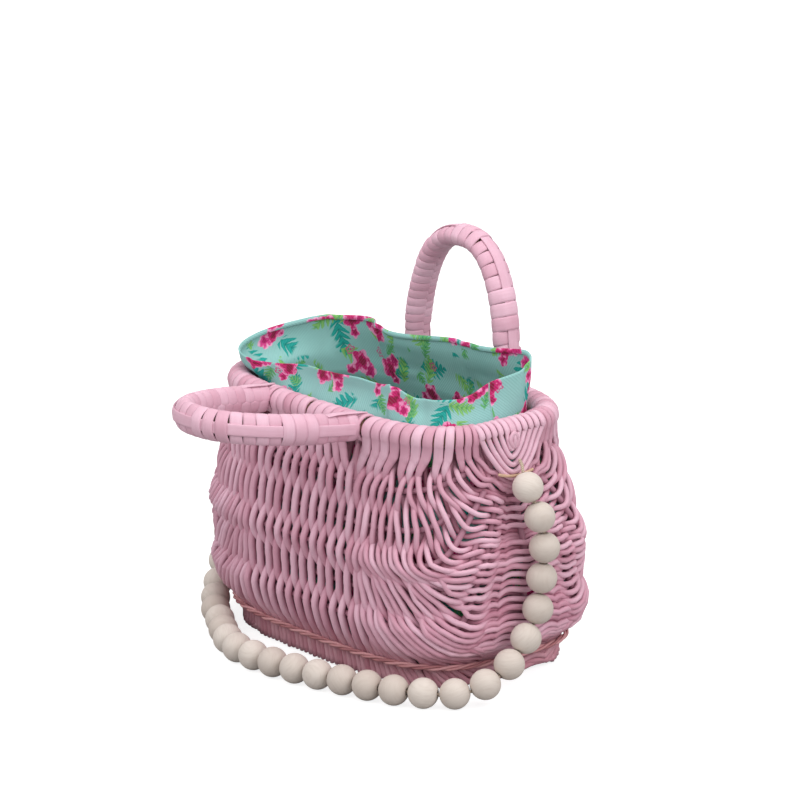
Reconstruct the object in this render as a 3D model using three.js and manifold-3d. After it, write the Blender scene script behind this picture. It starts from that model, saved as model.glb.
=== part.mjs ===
// Wicker basket bag with two hooped handles, a fabric liner and a strap of wooden beads.
// Millimetres, +Z up, +X along the basket, front at -Y, origin on the floor under the middle.
// Every level section is a superellipse. The woven wall stands out and in by turns, strand by strand.
import * as THREE from 'three';
import Module from 'manifold-3d';

// Fits
const FIT = 0.3;                    // gap between pieces that seat on each other
const OUTLINE_EXPONENT = 3.5;       // squareness of the basket's outline

// Rim
const RIM_HEIGHT = 167;             // hoop axis above the floor
const RIM_HALF_LENGTH = 120;
const RIM_HALF_WIDTH = 60;
const HOOP_RADIUS = 5;
const RIM_WRAP_RADIUS = 9;
const RIM_STEPS = 64;
const RIM_SIDES = 8;

// Woven body: height, half length and half width of its bends, below the shoulder drop
const SHOULDER_DROP = 36;           // first bend below the rim axis
const MOUTH_FLARE = 4.5;            // body's top edge outside the hoop axis
const SHOULDER = [133.5, 73.3];
const BODY_BENDS = [
  [106, 139, 77.5],
  [86, 144.5, 82.8],
  [64, 140.5, 80],
  [44, 144, 82.8],
  [28, 139, 79],
  [18, 124, 72],
  [0, 121, 70],
];
const WALL = 5;
const LINING_STEPS = 56;
const CORNER_SHARE = 0.6;           // how much of the liner's points goes to the corners

// Weave: the outside goes in where a strand passes behind a rib
const STRANDS = 34;                 // in each quarter of the basket
const STRAND_PITCH = 4.8;           // in the middle of the front and the back
const EVEN_STRANDS = 12;            // how many strands keep that pitch
const FIRST_END_STRAND = 24;        // strands from here on lie on the end faces
const WEAVE_DEPTH = 3.5;

// Course of the ribs over the body
const FLOOR_RISE = 0.35;            // where the keel leaves the floor, as a share of the half width
const KNEE = 1.2;                   // how softly the ribs turn up towards the end knots
const RIB_STEPS = 24;
const RIB_SPACING = 7;              // least distance from a bend to the next even step

// Ribs
const RIB_RADIUS = 2.8;
const RIB_FIT = 0.6;                // ribs to the weave, and the liner to the ribs
const RIB_LEVELS = [1, 2, 3, 4, 5]; // which bends of the body the side ribs follow
const RIB_STOPS = [33, 62, 36, 66, 36];   // how far short of the end knot each one stops
const KEEL_STOP = 30;
const RIB_SIDES = 5;

// Foot border, a cord of cane in the step above the foot
const BORDER_RADIUS = 2;
const BORDER_DROP = 1;              // its axis below the step's corner
const BORDER_OUT = [3.3, 2.6];      // its axis outside the corner, at the ends and at the sides
const BORDER_STEPS = 56;
const BORDER_SIDES = 5;

// End knots
const KNOT_HALF_WIDTH = 16;
const KNOT_DROP = 27;
const KNOT_RISE = 12;
const KNOT_BELOW_RIM = 4;           // centre of the lozenge below the rim axis
const KNOT_EDGE = 1.5;
const KNOT_CROWN = 3.5;             // how far its middle stands out beyond its edge
const KNOT_STEPS = 6;

// Handles
const HANDLE_SPACING = 48.5;        // each leg's middle from the middle of the basket
const ARCH_HEIGHT = 98;             // arch axis above the hoop axis
const ARCH_EXPONENT = 2.46;
const CORE_HALF = [4, 6];           // half thickness in the arch's plane and across it
const HANDLE_WRAP_HALF = [6, 9];
const EYE_CLEARANCE = 0.9;          // eye's bore around the hoop, radial
const EYE_WALL = 3.1;
const EYE_WIDTH = 13;
const EYE_END_GAP = 0.4;            // eye to the ends of the rim's wrapping
const EYE_SIDES = 16;
const SPINE_HALF_WIDTH = 4.5;
const SPINE_THICKNESS = 1.2;
const SPINE_BEND = 0.9;             // how far its edges bend round the handle
const SPINE_START = 12;             // above the hoop axis
const FRONT_ANGLE = 82.2;           // folded out from upright, degrees
const REAR_ANGLE = 4.3;
const HANDLE_LEAN_IN = 12;          // furthest inward lean that the liner has to clear
const ARCH_STEPS = 30;
const ARCH_SIDES = 8;

// Liner
const LINER_THICKNESS = 1.5;
const LINER_FOOT = [108, 62];       // half sizes that the lining narrows to at the floor
const LINER_FOOT_EASE = 2;          // further inset where the lining slopes in to the foot
const COLLAR_GAP = 1.3;             // collar to the inside of the rim
const COLLAR_SLOPE = 12.5;          // inward lean, degrees
const HEM_RISE = 28;                // mean height of the hem above the rim's top
const HEM_BACK = 8;                 // how much higher at the back, and lower in front
const HEM_RIGHT = 7;                // how much higher at the right end, and lower at the left
const COLLAR_STEPS = 48;
const COLLAR_ROWS = [0, 0.2, 0.6, 1];

// Bead strap: the string's course, from the right knot to the left one
const CORD_RADIUS = 1.1;
const BEAD_RADIUS = 10;
const BEAD_GAP = 0.3;
const BEAD_BORE_RADIUS = 2.4;
const BEAD_COUNT = 30;
const FIRST_BEAD = 19.4;            // string from the right knot to the first bead's middle
const BEAD_SIDES = 8;
const BEAD_RINGS = [-50, -17, 17, 50];   // latitudes of a bead's rings of points, degrees
const CORD_TAIL = 19;               // bare string before the left knot
const CORD_SIDES = 8;
const TAIL_STEPS = 6;
const TIP_SHARES = [0, 0.3, 0.55];   // points on the string between the right knot and the first bead
const FLOOR_GAP = 0.1;
const COURSE_STEP = 0.02;           // how finely bead places are searched for along the string
const STRAP_COURSE = [
  [134.9, -0.5, 150.5], [138.4, -1.6, 148.2], [146.2, -3.4, 135], [153.3, -0.2, 116.3],
  [155, 1.6, 96.1], [153.4, -0.2, 75.9], [153.1, -3.8, 56], [153.3, -14.5, 38.7],
  [154.1, -29.4, 24.9], [150.8, -46.7, 14.9], [140.5, -63.5, 10.1], [125.5, -77.2, 10.1],
  [107.8, -87.1, 10.1], [88.7, -93.8, 10.1], [69.1, -99.1, 10.1], [49.4, -104.1, 10.1],
  [29.5, -107.8, 10.1], [9.4, -110.6, 10.1], [-10.9, -111.5, 10.1], [-31.2, -109.9, 10.1],
  [-50.5, -103.7, 10.1], [-68.6, -94.5, 10.1], [-86.3, -84.7, 10.6], [-104.3, -75.3, 11.6],
  [-120.8, -63.6, 13.6], [-135.9, -50.6, 18.2], [-147.6, -37.3, 28.5], [-153.1, -28, 45.6],
  [-154.8, -20.7, 64.5], [-154.4, -14.7, 83.9], [-151.7, -9.4, 103.3], [-147.3, -5.1, 122.7],
  [-141.6, -2.6, 139.2], [-137.6, -1, 147.6], [-134.9, -0.5, 150.5],
];

const WICKER = { color: 0xc892a6, roughness: 0.75, metalness: 0 };
const WICKER_DARK = { color: 0xb47f92, roughness: 0.8, metalness: 0 };
const CANE = { color: 0xc8a27c, roughness: 0.7, metalness: 0 };
const FABRIC = { color: 0x96cdcd, roughness: 0.95, metalness: 0 };
const STRING = { color: 0xb9a48e, roughness: 0.9, metalness: 0 };
const BEAD_WOOD = { color: 0xd8cabc, roughness: 0.7, metalness: 0 };

const BODY_TOP = RIM_HEIGHT - RIM_WRAP_RADIUS - FIT;
const RIM_WRAP_INNER = HOOP_RADIUS + FIT;
const EYE_BORE = HOOP_RADIUS + EYE_CLEARANCE;
const EYE_RADIUS = EYE_BORE + EYE_WALL;
const radians = Math.PI / 180;

// Steps of the tables that lengths are measured on
const OUTLINE_TABLE = 4000;
const LINE_TABLE = 600;
const ARCH_TABLE = 1200;
const COURSE_TABLE = 2000;
const SEARCH_STEPS = 40;            // halvings of a range, when a place on a line is looked for

const wasm = await Module();
wasm.setup();

// Solids from points and triangles, welded and turned outwards
function solid(points, triangles) {
  const index = new Map();
  const position = [];
  const remap = points.map(([x, y, z]) => {
    const key = `${x.toFixed(4)},${y.toFixed(4)},${z.toFixed(4)}`.replaceAll('-0.0000', '0.0000');
    if (!index.has(key)) {
      index.set(key, position.length / 3);
      position.push(x, y, z);
    }
    return index.get(key);
  });
  let faces = triangles.map((t) => t.map((i) => remap[i]));
  faces = faces.filter(([a, b, c]) => a !== b && b !== c && c !== a);
  const at = (i) => new THREE.Vector3().fromArray(position, 3 * i);
  const volume = faces.reduce((sum, [a, b, c]) => sum + at(a).dot(at(b).cross(at(c))), 0);
  if (volume < 0) faces = faces.map(([a, b, c]) => [a, c, b]);
  const geometry = new THREE.BufferGeometry();
  geometry.setAttribute('position', new THREE.Float32BufferAttribute(position, 3));
  geometry.setIndex(faces.flat());
  return geometry;
}

function strip(triangles, first, second, count, closed) {
  for (let i = 0; i < (closed ? count : count - 1); i += 1) {
    const j = (i + 1) % count;
    triangles.push([first + i, first + j, second + j], [first + i, second + j, second + i]);
  }
}

const place = ({ p, u, v }, [a, b]) => [0, 1, 2].map((k) => p[k] + u[k] * a + v[k] * b);

// A section carried along frames: closed into a ring, or capped at both ends
function sweep(frames, section, closed) {
  const n = section.length;
  const points = frames.flatMap((frame) => section.map((s) => place(frame, s)));
  const triangles = [];
  for (let i = 0; i < frames.length - (closed ? 0 : 1); i += 1) {
    strip(triangles, i * n, ((i + 1) % frames.length) * n, n, true);
  }
  if (!closed) {
    for (const [frame, start, flip] of [[frames[0], 0, true], [frames.at(-1), points.length - n, false]]) {
      const middle = points.length;
      const mean = [0, 1].map((k) => section.reduce((sum, s) => sum + s[k], 0) / n);
      points.push(place(frame, mean));
      for (let i = 0; i < n; i += 1) {
        const j = (i + 1) % n;
        triangles.push(flip ? [middle, start + j, start + i] : [middle, start + i, start + j]);
      }
    }
  }
  return solid(points, triangles);
}

// A hollow sleeve: two sections with as many points, joined at both ends
function sleeve(frames, outer, inner) {
  const n = outer.length;
  const points = [outer, inner].flatMap((section) => (
    frames.flatMap((frame) => section.map((s) => place(frame, s)))));
  const half = frames.length * n;
  const triangles = [];
  for (let i = 0; i < frames.length - 1; i += 1) {
    strip(triangles, i * n, (i + 1) * n, n, true);
    strip(triangles, half + (i + 1) * n, half + i * n, n, true);
  }
  strip(triangles, half, 0, n, true);
  strip(triangles, half - n, 2 * half - n, n, true);
  return solid(points, triangles);
}

// Two sheets of the same grid (rows of points), joined round their edges
function sheetPair(outer, inner, wrapAround) {
  const rows = outer.length;
  const n = outer[0].length;
  const points = [...outer.flat(), ...inner.flat()];
  const half = rows * n;
  const triangles = [];
  for (let i = 0; i < rows - 1; i += 1) {
    strip(triangles, i * n, (i + 1) * n, n, wrapAround);
    strip(triangles, half + (i + 1) * n, half + i * n, n, wrapAround);
  }
  strip(triangles, half, 0, n, wrapAround);
  strip(triangles, half - n, 2 * half - n, n, wrapAround);
  if (!wrapAround) {
    for (let i = 0; i < rows - 1; i += 1) {
      for (const [column, flip] of [[0, false], [n - 1, true]]) {
        const a = i * n + column;
        const b = a + n;
        const [c, d] = [a + half, b + half];
        triangles.push(...(flip ? [[a, c, d], [a, d, b]] : [[a, b, d], [a, d, c]]));
      }
    }
  }
  return solid(points, triangles);
}

// An open cup: level loops from the brim down, outside and inside, each closed by its floor
function cup(outer, inner) {
  const n = outer[0].length;
  const points = [...outer.flat(), ...inner.flat()];
  const start = outer.length * n;
  const triangles = [];
  for (let i = 0; i < outer.length - 1; i += 1) strip(triangles, i * n, (i + 1) * n, n, true);
  for (let i = 0; i < inner.length - 1; i += 1) {
    strip(triangles, start + (i + 1) * n, start + i * n, n, true);
  }
  strip(triangles, start, 0, n, true);
  for (const [last, flip] of [[start - n, false], [points.length - n, true]]) {
    const middle = points.length;
    points.push([0, 0, points[last][2]]);
    for (let i = 0; i < n; i += 1) {
      const j = (i + 1) % n;
      triangles.push(flip ? [middle, last + j, last + i] : [middle, last + i, last + j]);
    }
  }
  return solid(points, triangles);
}

const oval = (half, sides) => Array.from({ length: sides }, (_, i) => {
  const angle = (2 * Math.PI * i) / sides;
  return [half[0] * Math.cos(angle), half[1] * Math.sin(angle)];
});
const round = (radius, sides) => oval([radius, radius], sides);

const signedPower = (value, power) => Math.sign(value) * Math.abs(value) ** power;
const outlinePoint = (angle, halfLength, halfWidth, exponent = OUTLINE_EXPONENT) => [
  halfLength * signedPower(Math.cos(angle), 2 / exponent),
  halfWidth * signedPower(Math.sin(angle), 2 / exponent),
];

// A closed outline measured by length, anticlockwise from the +X end
function measuredOutline(halfLength, halfWidth) {
  const fine = OUTLINE_TABLE;
  const points = [];
  const lengths = [0];
  for (let i = 0; i <= fine; i += 1) {
    points.push(outlinePoint((2 * Math.PI * i) / fine, halfLength, halfWidth));
    if (i > 0) {
      const [a, b] = [points[i - 1], points[i]];
      lengths.push(lengths[i - 1] + Math.hypot(b[0] - a[0], b[1] - a[1]));
    }
  }
  const total = lengths[fine];
  const at = (length) => {
    const s = ((length % total) + total) % total;
    let low = 0;
    let high = fine;
    while (high - low > 1) {
      const middle = (low + high) >> 1;
      if (lengths[middle] <= s) low = middle;
      else high = middle;
    }
    const share = (s - lengths[low]) / (lengths[high] - lengths[low]);
    return [0, 1].map((k) => points[low][k] + share * (points[high][k] - points[low][k]));
  };
  const frame = (length, height) => {
    const [x, y] = at(length);
    const ahead = at(length + 0.5);
    const behind = at(length - 0.5);
    const size = Math.hypot(ahead[0] - behind[0], ahead[1] - behind[1]);
    const along = [(ahead[0] - behind[0]) / size, (ahead[1] - behind[1]) / size];
    return { p: [x, y, height], u: [along[1], -along[0], 0], v: [0, 0, 1], along };
  };
  // Places shared between even spacing and even turning, so that corners get more of them
  const shared = (count, turnShare) => {
    const turned = [0];
    const heading = (i) => Math.atan2(points[i][1] - points[i - 1][1], points[i][0] - points[i - 1][0]);
    for (let i = 1; i <= fine; i += 1) {
      const turn = i < fine ? Math.abs(Math.sin((heading(i + 1) - heading(i)) / 2)) : 0;
      turned.push(turned[i - 1] + turn);
    }
    const score = (i) => (1 - turnShare) * (lengths[i] / total) + turnShare * (turned[i] / turned[fine]);
    return Array.from({ length: count }, (_, k) => {
      const i = Math.max(1, lengths.findIndex((__, j) => score(j) >= k / count));
      const share = k === 0 ? 0 : (k / count - score(i - 1)) / (score(i) - score(i - 1));
      return (2 * Math.PI * (k === 0 ? 0 : i - 1 + share)) / fine;
    });
  };
  const lengthAtX = (x, back) => {
    let low = back ? 0 : total / 2;
    let high = back ? total / 2 : total;
    for (let i = 0; i < SEARCH_STEPS; i += 1) {
      const middle = (low + high) / 2;
      if ((at(middle)[0] > x) === back) low = middle;
      else high = middle;
    }
    return (low + high) / 2;
  };
  return { total, frame, lengthAtX, at, shared };
}

const parts = [];
function add(name, geometry, look) {
  const mesh = new THREE.Mesh(geometry, new THREE.MeshStandardMaterial(look));
  mesh.name = name;
  parts.push(mesh);
}

// Rim hoop and its wrapping, with gaps for the four eyes
const rim = measuredOutline(RIM_HALF_LENGTH, RIM_HALF_WIDTH);
const eyeCut = EYE_WIDTH / 2 + EYE_END_GAP;
const cutsAt = (back) => [-HANDLE_SPACING - eyeCut, -HANDLE_SPACING + eyeCut,
  HANDLE_SPACING - eyeCut, HANDLE_SPACING + eyeCut].map((x) => ({ x, s: rim.lengthAtX(x, back) }));
const [frontCuts, backCuts] = [cutsAt(false), cutsAt(true)];

// A frame whose section lies square to X, where the wrapping ends beside an eye
function squareToX(frame) {
  const lean = frame.u[0] / frame.along[0];
  return { ...frame, u: [0, frame.u[1] - lean * frame.along[1], 0] };
}

function rimFrames(from, to) {
  const steps = Array.from({ length: RIM_STEPS }, (_, i) => (rim.total * i) / RIM_STEPS);
  const cuts = [...frontCuts, ...backCuts].map(({ s }) => s);
  const near = (s) => cuts.some((cut) => Math.abs(cut - s) < rim.total / RIM_STEPS / 3);
  const all = [...steps.filter((s) => !near(s)), ...cuts].sort((a, b) => a - b);
  const wrapped = [...all, ...all.map((s) => s + rim.total)];
  const wanted = from === undefined ? all : wrapped.filter((s) => s > from - 1e-6 && s < to + 1e-6);
  return wanted.map((s) => {
    const frame = rim.frame(s, RIM_HEIGHT);
    return cuts.some((cut) => Math.abs(cut - (s % rim.total)) < 1e-6) ? squareToX(frame) : frame;
  });
}

add('rim_hoop', sweep(rimFrames(), round(HOOP_RADIUS, RIM_SIDES), true), CANE);
const rimWraps = {
  rim_wrap_front: [frontCuts[1].s, frontCuts[2].s],
  rim_wrap_back: [backCuts[2].s, backCuts[1].s],
  rim_wrap_left: [backCuts[0].s, frontCuts[0].s],
  rim_wrap_right: [frontCuts[3].s, backCuts[3].s + rim.total],
};
const wrapOutside = round(RIM_WRAP_RADIUS, RIM_SIDES);
const wrapInside = round(RIM_WRAP_INNER, RIM_SIDES);
for (const [name, [from, to]] of Object.entries(rimWraps)) {
  add(name, sleeve(rimFrames(from, to), wrapOutside, wrapInside), WICKER);
}

// The basket's surface: lines that run from knot to knot, one below the other
const shoulderHeight = RIM_HEIGHT - SHOULDER_DROP;
const topRow = [BODY_TOP, RIM_HALF_LENGTH + MOUTH_FLARE, RIM_HALF_WIDTH + MOUTH_FLARE];
const bodyRows = [topRow, [shoulderHeight, ...SHOULDER], ...BODY_BENDS];
const liningRows = [...bodyRows.slice(0, 6), [0, ...LINER_FOOT]];

function sizesAt(rows, height) {
  const i = Math.max(1, rows.findIndex((row) => row[0] <= height));
  const [above, below] = [rows[i - 1], rows[i]];
  const share = (above[0] - height) / (above[0] - below[0]);
  return [1, 2].map((k) => above[k] + share * (below[k] - above[k]));
}

// A line runs level until its share of the half width falls to this one, then turns up
const risesAt = (line) => FLOOR_RISE + (1 - FLOOR_RISE) * (line.level / BODY_TOP);

function linePoint(line, angle, rows, inset, floor) {
  const across = Math.cos(angle) ** (2 / OUTLINE_EXPONENT);
  const along = signedPower(Math.sin(angle), 2 / OUTLINE_EXPONENT);
  const fallen = 1 - (1 - Math.min(1, across / risesAt(line))) ** KNEE;
  const height = BODY_TOP - (BODY_TOP - Math.max(line.level, floor)) * fallen;
  const [halfLength, halfWidth] = sizesAt(rows, height);
  const extra = typeof inset === 'function' ? inset(height) : inset;
  return [along * (halfLength - extra), line.side * across * (halfWidth - extra), height];
}

// Even steps along a line between its two knots, as angles
function evenAngles(line, rows, count) {
  const fine = LINE_TABLE;
  const lengths = [0];
  let last = linePoint(line, 0, rows, 0, 0);
  for (let i = 1; i <= fine; i += 1) {
    const next = linePoint(line, (Math.PI / 2) * (i / fine), rows, 0, 0);
    lengths.push(lengths[i - 1] + Math.hypot(...[0, 1, 2].map((k) => next[k] - last[k])));
    last = next;
  }
  const half = Array.from({ length: count + 1 }, (_, k) => {
    const wanted = (lengths[fine] * k) / count;
    const i = Math.max(1, lengths.findIndex((s) => s >= wanted - 1e-9));
    const share = (wanted - lengths[i - 1]) / (lengths[i] - lengths[i - 1]);
    return (Math.PI / 2) * ((i - 1 + share) / fine);
  });
  return [...half.slice(1).reverse().map((angle) => -angle), ...half];
}

const loopAngles = measuredOutline(...BODY_BENDS[1].slice(1)).shared(LINING_STEPS, CORNER_SHARE);
function level(height, rows, inset) {
  const [halfLength, halfWidth] = sizesAt(rows, height);
  return loopAngles.map((angle) => [...outlinePoint(angle, halfLength - inset, halfWidth - inset), height]);
}

// Strands round a level outline, each quarter counted from the middle of its side
function strandPlaces(outline) {
  const quarter = outline.total / 4;
  const evenLength = STRAND_PITCH * EVEN_STRANDS;
  const endPitch = (quarter - evenLength) / (STRANDS - EVEN_STRANDS);
  const fromMiddle = (i) => (i < EVEN_STRANDS
    ? STRAND_PITCH * (i + 0.5)
    : evenLength + endPitch * (i - EVEN_STRANDS + 0.5));
  const outwards = Array.from({ length: STRANDS }, (_, i) => i);
  const inwards = [...outwards].reverse();
  return [
    ...inwards.map((i) => ({ at: quarter - fromMiddle(i), strand: i, right: true })),
    ...outwards.map((i) => ({ at: quarter + fromMiddle(i), strand: i, right: false })),
    ...inwards.map((i) => ({ at: 3 * quarter - fromMiddle(i), strand: i, right: false })),
    ...outwards.map((i) => ({ at: 3 * quarter + fromMiddle(i), strand: i, right: true })),
  ];
}

// On the sides a strand goes in at every second rib, and on the ends at every second level
const lastRibRow = 2 * RIB_LEVELS.length;
function strandDepth({ strand, right }, row) {
  if (row === 0 || row > lastRibRow + 2) return 0;
  const phase = strand + (right ? 0 : 1);
  if (strand >= FIRST_END_STRAND) return WEAVE_DEPTH * ((phase + row) % 2);
  const atRib = row % 2 === 0 && row <= lastRibRow;
  return atRib ? WEAVE_DEPTH * ((phase + row / 2) % 2) : WEAVE_DEPTH / 2;
}

function wovenLevel(height, inset, depthOf) {
  const outline = measuredOutline(...sizesAt(bodyRows, height).map((half) => half - inset));
  return strandPlaces(outline).map((spot) => {
    const { p, u } = outline.frame(spot.at, height);
    return p.map((value, k) => value - u[k] * depthOf(spot));
  });
}

const heights = bodyRows.map((row) => row[0]);
const rowHeights = heights.flatMap((height, i) => (
  i <= RIB_LEVELS.length ? [height, (height + heights[i + 1]) / 2] : [height]));
const innerHeights = [...heights.slice(0, -1), WALL];
add('woven_body', cup(
  rowHeights.map((height, row) => wovenLevel(height, 0, (spot) => strandDepth(spot, row))),
  innerHeights.map((height) => wovenLevel(height, WALL, () => 0)),
), WICKER);

// Ribs just inside the weave; each stops short of the knot, where they would crowd
const ribInset = WALL + RIB_FIT + RIB_RADIUS;
const cross = (a, b) => [a[1] * b[2] - a[2] * b[1], a[2] * b[0] - a[0] * b[2], a[0] * b[1] - a[1] * b[0]];
const minus = (a, b) => a.map((value, k) => value - b[k]);
const unit = (a) => a.map((value) => value / Math.hypot(...a));

function framesAlong(points, across) {
  let side = across;
  return points.map((p, i) => {
    const along = unit(minus(points[Math.min(i + 1, points.length - 1)], points[Math.max(i - 1, 0)]));
    const v = unit(cross(along, side));
    side = cross(v, along);
    return { p, u: side, v };
  });
}

// Angles at which a rib turns up and crosses the bends of the profile, so that it follows them
function bendAngles(line, rows, at) {
  const crossed = rows.slice(1).map((row) => row[0]).filter((height) => height > line.level + 1);
  const half = crossed.map((height) => {
    let [low, high] = [0, Math.PI / 2];
    for (let i = 0; i < SEARCH_STEPS; i += 1) {
      const middle = (low + high) / 2;
      if (at(middle)[2] < height) low = middle;
      else high = middle;
    }
    return high;
  });
  half.push(Math.acos(risesAt(line) ** (OUTLINE_EXPONENT / 2)));
  return [...half.map((angle) => -angle), ...half];
}

function ribPoints(line, rows, stop) {
  const knot = [topRow[1], 0, BODY_TOP];
  const far = (p) => Math.hypot(Math.abs(p[0]) - knot[0], p[1], p[2] - knot[2]);
  const at = (angle) => linePoint(line, angle, rows, ribInset, ribInset);
  const bends = bendAngles(line, rows, at);
  const apart = (a, b) => Math.hypot(...minus(at(a), at(b)));
  const clear = (a) => bends.every((b) => apart(a, b) > RIB_SPACING);
  const even = evenAngles(line, rows, RIB_STEPS / 2).filter(clear);
  const points = [...even, ...bends].sort((a, b) => a - b).map(at);
  const kept = points.filter((p) => far(p) >= stop);
  const endPoint = (inside, outside) => {
    const share = (far(inside) - stop) / (far(inside) - far(outside));
    return inside.map((value, k) => value + share * (outside[k] - value));
  };
  const first = points.indexOf(kept[0]);
  const final = points.indexOf(kept.at(-1));
  return [endPoint(kept[0], points[first - 1]), ...kept, endPoint(kept.at(-1), points[final + 1])];
}

RIB_LEVELS.forEach((row, i) => {
  for (const [name, side] of [['front', -1], ['back', 1]]) {
    const line = { side, level: bodyRows[row][0] };
    const frames = framesAlong(ribPoints(line, bodyRows, RIB_STOPS[i]), [0, 0, 1]);
    add(`rib_${name}_${i + 1}`, sweep(frames, round(RIB_RADIUS, RIB_SIDES), false), CANE);
  }
});
const keelPoints = ribPoints({ side: 0, level: 0 }, liningRows, KEEL_STOP);
add('keel_rib', sweep(framesAlong(keelPoints, [0, 1, 0]), round(RIB_RADIUS, RIB_SIDES), false), CANE);

// Foot border, in the corner between the foot and the belly
const stepRow = bodyRows.at(-2);
const border = measuredOutline(stepRow[1] + BORDER_OUT[0], stepRow[2] + BORDER_OUT[1]);
const borderFrames = Array.from({ length: BORDER_STEPS }, (_, i) => (
  border.frame((border.total * i) / BORDER_STEPS, stepRow[0] - BORDER_DROP)));
add('foot_border', sweep(borderFrames, round(BORDER_RADIUS, BORDER_SIDES), true), WICKER_DARK);

// End knots: lozenges that lie over the rim's wrapping and the shoulder
function knotSeat(height) {
  const overRim = RIM_HALF_LENGTH + RIM_WRAP_RADIUS + FIT;
  const bridgeTop = BODY_TOP;
  const bridgeFoot = shoulderHeight + KNOT_EDGE;
  const overBody = (z) => sizesAt(bodyRows, z)[0] + FIT;
  if (height >= bridgeTop) return overRim;
  if (height <= bridgeFoot) return overBody(height);
  const share = (bridgeTop - height) / (bridgeTop - bridgeFoot);
  return overRim + share * (overBody(bridgeFoot) - overRim);
}

function knotSheet(side, lift) {
  const middle = RIM_HEIGHT - KNOT_BELOW_RIM;
  return Array.from({ length: KNOT_STEPS + 1 }, (_, i) => Array.from({ length: KNOT_STEPS + 1 }, (__, j) => {
    const [a, b] = [(2 * i) / KNOT_STEPS - 1, (2 * j) / KNOT_STEPS - 1];
    const tall = (a + b) / 2;
    const height = middle + tall * (tall > 0 ? KNOT_RISE : KNOT_DROP);
    const crown = 1 - Math.max(Math.abs(a), Math.abs(b));
    const out = knotSeat(height) + lift * (KNOT_EDGE + KNOT_CROWN * crown);
    return [side * out, ((a - b) / 2) * KNOT_HALF_WIDTH, height];
  }));
}
add('end_knot_right', sheetPair(knotSheet(1, 1), knotSheet(1, 0), false), WICKER);
add('end_knot_left', sheetPair(knotSheet(-1, 1), knotSheet(-1, 0), false), WICKER);

// Handles: arch in its own plane, height measured from the hoop axis
function archPoint(angle) {
  return [HANDLE_SPACING * signedPower(Math.cos(angle), 2 / ARCH_EXPONENT),
    ARCH_HEIGHT * Math.abs(Math.sin(angle)) ** (2 / ARCH_EXPONENT)];
}

const archTable = Array.from({ length: ARCH_TABLE + 1 }, (_, i) => archPoint((Math.PI * i) / ARCH_TABLE));
const archLengths = [0];
for (let i = 1; i < archTable.length; i += 1) {
  const [a, b] = [archTable[i - 1], archTable[i]];
  archLengths.push(archLengths[i - 1] + Math.hypot(b[0] - a[0], b[1] - a[1]));
}
const archTotal = archLengths.at(-1);

function archAt(length) {
  const i = Math.min(Math.max(1, archLengths.findIndex((s) => s >= length)), archTable.length - 1);
  const share = (length - archLengths[i - 1]) / (archLengths[i] - archLengths[i - 1]);
  return archTable[i - 1].map((value, k) => value + share * (archTable[i][k] - value));
}

function archFrames(start, ends = []) {
  const step = (archTotal - 2 * start) / ARCH_STEPS;
  const steps = Array.from({ length: ARCH_STEPS + 1 }, (_, i) => start + i * step);
  return [...ends, ...steps, ...ends.map((s) => archTotal - s)].map((s) => {
    const [x, height] = archAt(s);
    const [x1, h1] = archAt(Math.min(s + 0.5, archTotal));
    const [x0, h0] = archAt(Math.max(s - 0.5, 0));
    const size = Math.hypot(x1 - x0, h1 - h0);
    return { p: [x, 0, height], u: [(h1 - h0) / size, 0, -(x1 - x0) / size], v: [0, 1, 0] };
  });
}

const toManifold = (geometry) => new wasm.Manifold(new wasm.Mesh({
  numProp: 3,
  vertProperties: new Float32Array(geometry.attributes.position.array),
  triVerts: new Uint32Array(geometry.index.array),
}));

function fromManifold(shape) {
  const { vertProperties, triVerts } = shape.getMesh();
  const three = (list, i) => [...list.slice(3 * i, 3 * i + 3)];
  const threes = (list) => Array.from({ length: list.length / 3 }, (_, i) => three(list, i));
  return solid(threes(vertProperties), threes(triVerts));
}

function eye(x) {
  const half = EYE_WIDTH / 2;
  const frames = Array.from({ length: EYE_SIDES }, (_, i) => {
    const angle = (2 * Math.PI * i) / EYE_SIDES;
    return { p: [x, 0, 0], u: [0, Math.sin(angle), Math.cos(angle)], v: [1, 0, 0] };
  });
  return sweep(frames, [[EYE_BORE, -half], [EYE_RADIUS, -half], [EYE_RADIUS, half], [EYE_BORE, half]], true);
}

const wrapStart = EYE_RADIUS + FIT;
const coreStart = EYE_BORE + EYE_WALL / 5;
const rod = toManifold(sweep(archFrames(wrapStart, [coreStart]), oval(CORE_HALF, ARCH_SIDES), false));
const eyes = toManifold(eye(HANDLE_SPACING)).add(toManifold(eye(-HANDLE_SPACING)));
const coreShape = fromManifold(rod.add(eyes));
const wrapInner = CORE_HALF.map((half) => half + FIT);
const wrapSections = [HANDLE_WRAP_HALF, wrapInner].map((half) => oval(half, ARCH_SIDES));
const wrapShape = sleeve(archFrames(wrapStart), ...wrapSections);
const spineSeat = HANDLE_WRAP_HALF[0] + FIT;
const spineSection = [
  [spineSeat - SPINE_BEND, -SPINE_HALF_WIDTH],
  [spineSeat + SPINE_THICKNESS - SPINE_BEND, -SPINE_HALF_WIDTH],
  [spineSeat + SPINE_THICKNESS, 0], [spineSeat + SPINE_THICKNESS - SPINE_BEND, SPINE_HALF_WIDTH],
  [spineSeat - SPINE_BEND, SPINE_HALF_WIDTH], [spineSeat, 0],
];
const spineShape = sweep(archFrames(SPINE_START), spineSection, false);

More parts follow.
